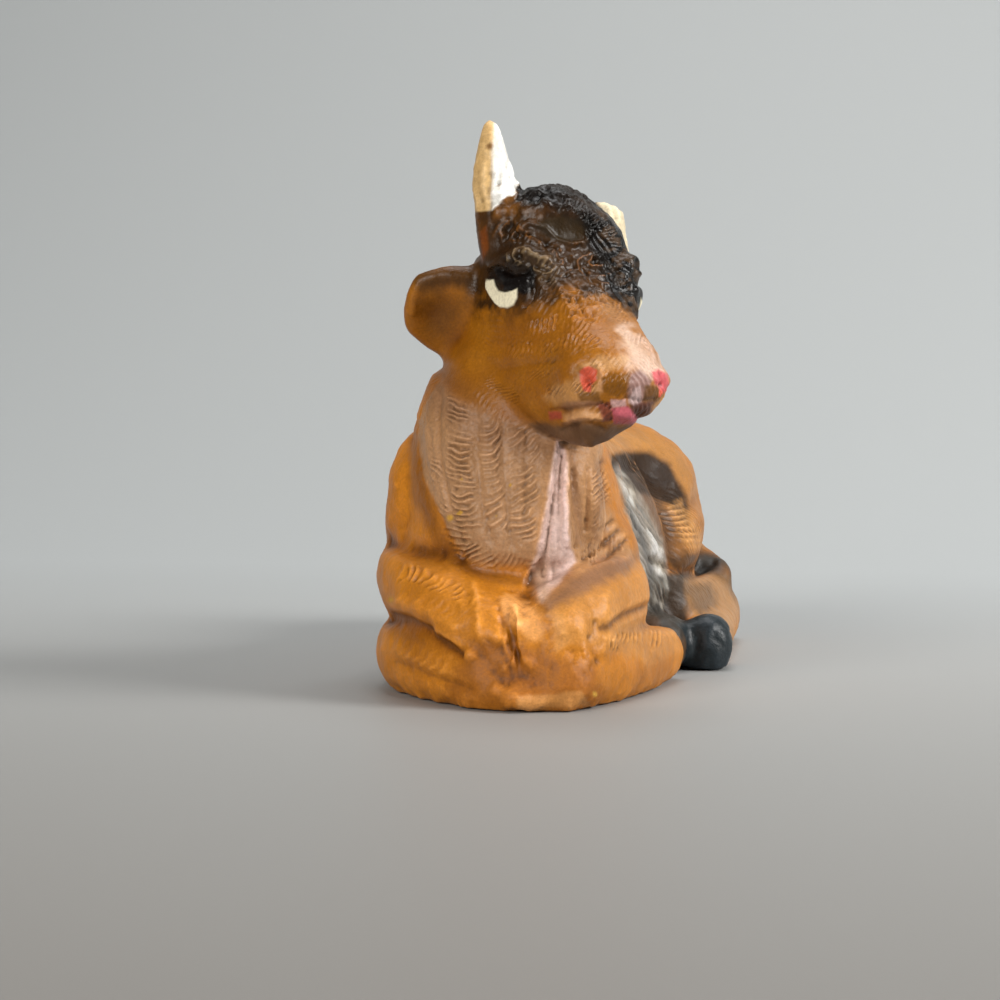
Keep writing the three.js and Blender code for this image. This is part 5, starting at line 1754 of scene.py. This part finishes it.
@dataclass
class Parting:
    """Parts the worked skin again into one closed piece for each pressed piece."""

    parts: tuple[Part, ...] = (
        Part("horn_right", Finish.HORN, 1.2),
        Part("horn_left", Finish.HORN, 1.0),
        Part("ear_right", Finish.HEAD, 1.4),
        Part("ear_left", Finish.HEAD, 1.4),
        Part("head", Finish.HEAD, 2.2),
        Part("tail", Finish.HOOF, 1.2),
        Part("hind_foot_right", Finish.HOOF, 1.2),
        Part("hind_leg_left", Finish.COAT, 1.6),
        Part("base_layer", Finish.MASS, 0.0),
        Part("foreleg_left", Finish.COAT, 1.8, ((3.0, -52.0, 0.0), (16.0, -34.0, 11.0))),
        Part("foreleg_right", Finish.COAT, 1.8, ((-12.0, -52.0, 0.0), (4.0, -34.0, 11.0))),
        Part("neck", Finish.DEWLAP, 2.2),
        Part("hind_leg_right", Finish.COAT, 1.8),
        Part("trunk_left_half", Finish.COAT, 0.0),
    )
    rest_part: Part = Part("trunk_right_half", Finish.COAT)
    base_height: float = 1.6
    far: float = 200.0
    region_grain: float = 0.5
    sealed_grain: float = 0.7

    def block(self, low: tuple[float, float, float], high: tuple[float, float, float]) -> bpy.types.Object:
        """Adds a plain cutting block between two corners.

        Args:
            low: Its lowest corner.
            high: Its highest corner.

        Returns:
            The block.
        """
        middle = [(a + b) / 2 for a, b in zip(low, high)]
        bpy.ops.object.select_all(action="DESELECT")
        bpy.ops.mesh.primitive_cube_add(size=1.0, location=middle)
        cutter = bpy.context.object
        cutter.scale = [b - a for a, b in zip(low, high)]
        bpy.ops.object.transform_apply(location=True, rotation=True, scale=True)
        return cutter

    def cutter(self, part: Part, nodes: dict[str, bpy.types.Object]) -> bpy.types.Object:
        """Makes the closed region that one part takes from the skin.

        Args:
            part: The part.
            nodes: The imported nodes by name.

        Returns:
            The cutting solid, in millimetres.
        """
        if part.node == "base_layer":
            return self.block((-self.far, -self.far, -self.far), (self.far, self.far, self.base_height))
        if part.node == "trunk_left_half":
            return self.block((0.0, -self.far, -self.far), (self.far, self.far, self.far))
        region = Blank.copy_of("region_" + part.node, nodes[part.node])
        Blank.regrain(region, self.region_grain)
        Blank.swell(region, part.reach)
        if part.front is not None:
            block = self.block(*part.front)
            select_only(region, block)
            bpy.ops.object.join()
        Blank.regrain(region, self.sealed_grain)
        return region

    @staticmethod
    def cut(skin: bpy.types.Object, cutter: bpy.types.Object, operation: str) -> None:
        """Cuts a mesh with a cutting solid.

        Args:
            skin: The mesh, changed in place.
            cutter: The cutting solid.
            operation: The boolean operation.
        """
        modifier = skin.modifiers.new("part", "BOOLEAN")
        modifier.object = cutter
        modifier.operation = operation
        modifier.solver = "MANIFOLD"
        modifier.material_mode = "TRANSFER"
        apply_all(skin)

    @staticmethod
    def keep_largest(obj: bpy.types.Object) -> None:
        """Deletes all but the largest connected body of a mesh.

        Args:
            obj: The object.
        """
        mesh = obj.data
        edges = read(mesh.edges, "vertices", 2, np.int32)
        label = np.arange(len(mesh.vertices))
        while True:
            low = np.minimum(label[edges[:, 0]], label[edges[:, 1]])
            fresh = label.copy()
            np.minimum.at(fresh, edges[:, 0], low)
            np.minimum.at(fresh, edges[:, 1], low)
            fresh = fresh[fresh]
            fresh = fresh[fresh]
            if np.array_equal(fresh, label):
                break
            label = fresh
        names, sizes = np.unique(label, return_counts=True)
        if len(names) == 1:
            return
        LOG.info("%s: %d bodies, sizes %s", obj.name, len(names), sorted(sizes)[-4:])
        edit_chosen(obj, "vertices", label != names[sizes.argmax()])
        bpy.ops.mesh.delete(type="VERT")
        bpy.ops.object.mode_set(mode="OBJECT")

    @staticmethod
    def corner_slots(mesh: bpy.types.Mesh) -> Array:
        """Gives each face corner the number of its face's material, which is above 0 on cut faces."""
        slots = read(mesh.polygons, "material_index", kind=np.int32)
        return np.repeat(slots, read(mesh.polygons, "loop_total", kind=np.int32))

    @staticmethod
    def sharpen_rims(obj: bpy.types.Object) -> None:
        """Keeps the shading of the skin apart from that of the hidden cut faces.

        Args:
            obj: The parted piece.
        """
        mesh = obj.data
        edge_of = read(mesh.loops, "edge_index", kind=np.int32)
        kind = Parting.corner_slots(mesh)
        low = np.full(len(mesh.edges), 99)
        high = np.full(len(mesh.edges), -1)
        np.minimum.at(low, edge_of, kind)
        np.maximum.at(high, edge_of, kind)
        mesh.polygons.foreach_set("use_smooth", np.ones(len(mesh.polygons), dtype=bool))
        sharp = mesh.attributes.get("sharp_edge") or mesh.attributes.new("sharp_edge", "BOOLEAN", "EDGE")
        sharp.data.foreach_set("value", low != high)
        mesh.update()

    @staticmethod
    def mend_rims(obj: bpy.types.Object) -> None:
        """Gives the points on the rim of a cut the paint, gloss and lie of the skin beside them.

        Args:
            obj: The parted piece.
        """
        mesh = obj.data
        count = len(mesh.vertices)
        corners = read(mesh.loops, "vertex_index", kind=np.int32)
        edges = read(mesh.edges, "vertices", 2, np.int32)
        edges = np.concatenate([edges, edges[:, ::-1]])
        inner = np.zeros(count, dtype=bool)
        inner[corners[Parting.corner_slots(mesh) > 0]] = True
        channels = (("paint", "color", 0, 4), ("gloss", "value", 4, 5), ("lie", "vector", 5, 8))
        values = np.zeros((count, 8), dtype=np.float64)
        for name, key, start, stop in channels:
            values[:, start:stop] = read(mesh.attributes[name].data, key, stop - start).reshape(count, -1)
        known = ~inner
        for _ in range(4):
            takes = edges[known[edges[:, 1]] & ~known[edges[:, 0]]]
            weight = np.bincount(takes[:, 0], minlength=count)
            fresh = weight > 0
            for k in range(8):
                total = np.bincount(takes[:, 0], weights=values[takes[:, 1], k], minlength=count)
                values[fresh, k] = total[fresh] / weight[fresh]
            known = known | fresh
        for name, key, start, stop in channels:
            mesh.attributes[name].data.foreach_set(key, values[:, start:stop].astype(np.float32).ravel())

    def finish(self, obj: bpy.types.Object, part: Part, palette: Palette) -> None:
        """Gives a parted piece its name, size, finish and place in the figure.

        Args:
            obj: The piece, still in millimetres.
            part: What it stands for.
            palette: The materials.
        """
        obj.name = part.node + "_painted"
        obj.data.name = obj.name
        self.keep_largest(obj)
        self.mend_rims(obj)
        self.sharpen_rims(obj)
        points = read(obj.data.vertices, "co", 3)
        obj.data.vertices.foreach_set("co", (points * MM).ravel())
        obj.data.update()
        lie = read(obj.data.attributes["lie"].data, "vector", 3)
        obj.data.normals_split_custom_set_from_vertices(lie)
        obj.data.attributes.remove(obj.data.attributes["lie"])
        skin_finish = Finish.COAT if part.finish is Finish.MASS else part.finish
        obj.data.materials.clear()
        obj.data.materials.append(palette.made[skin_finish])
        obj.data.materials.append(palette.made[Finish.MASS])
        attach(obj, "root")
        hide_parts(part.node)
        LOG.info("%s: %d faces", obj.name, len(obj.data.polygons))

    def run(self, skin: bpy.types.Object, nodes: dict[str, bpy.types.Object], palette: Palette) -> None:
        """Parts the skin.

        Args:
            skin: The painted skin, in millimetres.
            nodes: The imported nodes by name.
            palette: The materials.
        """
        skin.data.materials.clear()
        skin.data.materials.append(palette.made[Finish.COAT])
        for part in self.parts:
            cutter = self.cutter(part, nodes)
            cutter.data.materials.clear()
            cutter.data.materials.append(palette.made[Finish.MASS])
            taken = bpy.data.objects.new(part.node, skin.data.copy())
            bpy.context.scene.collection.objects.link(taken)
            self.cut(taken, cutter, "INTERSECT")
            self.cut(skin, cutter, "DIFFERENCE")
            bpy.data.objects.remove(cutter)
            self.finish(taken, part, palette)
        self.finish(skin, self.rest_part, palette)


# Stage


@dataclass(frozen=True)
class Lamp:
    """A square soft light that looks at the figure: lengths in metres and the power in watts."""

    name: str
    place: tuple[float, float, float]
    size: float
    power: float
    colour: Colour
    aim: tuple[float, float, float] = (0.0, -0.01, 0.03)

    def build(self) -> None:
        """Adds the light and turns it to its aim."""
        light = bpy.data.lights.new(self.name, "AREA")
        light.size = self.size
        light.energy = self.power
        light.color = self.colour
        lamp = bpy.data.objects.new(self.name, light)
        bpy.context.scene.collection.objects.link(lamp)
        lamp.location = self.place
        aim = np.array(self.aim) - np.array(self.place)
        turn = math.atan2(aim[1], aim[0]) - math.pi / 2
        nod = math.atan2(aim[2], math.hypot(aim[0], aim[1]))
        lamp.rotation_euler = (math.pi / 2 + nod, 0.0, turn)


@dataclass
class Studio:
    """A plain pale sweep, soft light from the right, and the camera."""

    view: FrontView
    sweep_front: float = -0.6
    sweep_bend: float = 0.14
    sweep_radius: float = 0.5
    sweep_half_width: float = 1.6
    sweep_height: float = 1.4
    sweep_steps: int = 24
    sensor: float = 36.0
    nearest: float = 0.01
    room_colour: Colour = (0.78, 0.79, 0.8)
    room_light: float = 0.1
    lamps: tuple[Lamp, ...] = (
        Lamp("key", (0.55, -0.12, 0.32), 0.26, 4.6, (1.0, 0.99, 0.97)),
        Lamp("top", (0.05, 0.1, 0.8), 0.5, 3.6, (0.98, 0.99, 1.0)),
        Lamp("front", (-0.25, -0.75, 0.3), 0.35, 5.2, (1.0, 0.97, 0.92)),
    )

    def build_sweep(self) -> None:
        """Adds the floor that bends up into the backdrop, and its grey finish."""
        bpy.ops.object.select_all(action="DESELECT")
        bpy.ops.mesh.primitive_plane_add(size=1.0, location=(0.0, 0.0, 0.0))
        sweep = bpy.context.object
        sweep.name = "sweep"
        profile = [(self.sweep_front, 0.0), (self.sweep_bend, 0.0)]
        for k in range(1, self.sweep_steps + 1):
            angle = math.pi / 2 * k / self.sweep_steps
            rise = self.sweep_radius * (1 - math.cos(angle))
            profile.append((self.sweep_bend + self.sweep_radius * math.sin(angle), rise))
        profile.append((self.sweep_bend + self.sweep_radius, self.sweep_height))
        points = [(side * self.sweep_half_width, y, z) for y, z in profile for side in (-1, 1)]
        faces = [(2 * k, 2 * k + 1, 2 * k + 3, 2 * k + 2) for k in range(len(profile) - 1)]
        mesh = bpy.data.meshes.new("sweep")
        mesh.from_pydata(points, [], faces)
        sweep.data = mesh
        mesh.polygons.foreach_set("use_smooth", np.ones(len(faces), dtype=bool))
        mesh.materials.append(PaperFinish().build())

    def build(self) -> None:
        """Sets up backdrop, lights, world and camera."""
        self.build_sweep()
        for lamp in self.lamps:
            lamp.build()
        scene = bpy.context.scene
        scene.view_settings.view_transform = "Standard"
        world = bpy.data.worlds.new("room")
        scene.world = world
        world.use_nodes = True
        world.node_tree.nodes["Background"].inputs["Color"].default_value = (*self.room_colour, 1.0)
        world.node_tree.nodes["Background"].inputs["Strength"].default_value = self.room_light
        lens = bpy.data.cameras.new("camera")
        lens.sensor_width = self.sensor
        lens.lens = self.sensor * self.view.focal / self.view.width
        lens.clip_start = self.nearest
        camera = bpy.data.objects.new("camera", lens)
        scene.collection.objects.link(camera)
        camera.location = [v * MM for v in self.view.place]
        camera.rotation_euler = (math.pi / 2 - self.view.nod, 0.0, math.radians(self.view.azimuth_deg))
        scene.camera = camera


def main() -> None:
    """Builds the figure piece by piece, and the stage."""
    logging.basicConfig(level=logging.INFO, format="%(relativeCreated)d %(name)s: %(message)s")
    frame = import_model()
    nodes = frame["nodes"]
    view, head = FrontView(), HeadFrame()
    palette = Palette()
    palette.build()

    blank = Blank()
    fused = blank.fuse(nodes)
    Parting.keep_largest(fused)
    skin = Skin(fused)
    chart = Chart(view, head, skin.points, skin.normals)
    skin.soften(blank.fine_passes, 0.5 * (1.0 - 0.8 * chart.on_horns()))
    skin.store()
    chart = Chart(view, head, skin.points, skin.normals)
    face = (chart.above_jaw > 0.0) & (chart.facing > 0.38) & (chart.own[:, 1] < 5.5)
    throat = (chart.on_neck > 0.05) & (chart.facing > 0.15)
    blank.refine(fused, face | throat)
    LOG.info("skin: %d points, %d after refining", len(skin.points), len(fused.data.vertices))
    skin = Skin(fused)
    chart = Relief().carve(skin, view, head)
    Painting().lay_on(skin, chart)
    LOG.info("painted")
    Parting().run(fused, nodes, palette)
    for name in blank.inner:
        nodes[name].data.materials.clear()
        nodes[name].data.materials.append(palette.made[Finish.WIRE])
    Studio(view).build()


if __name__ == "__main__":
    main()
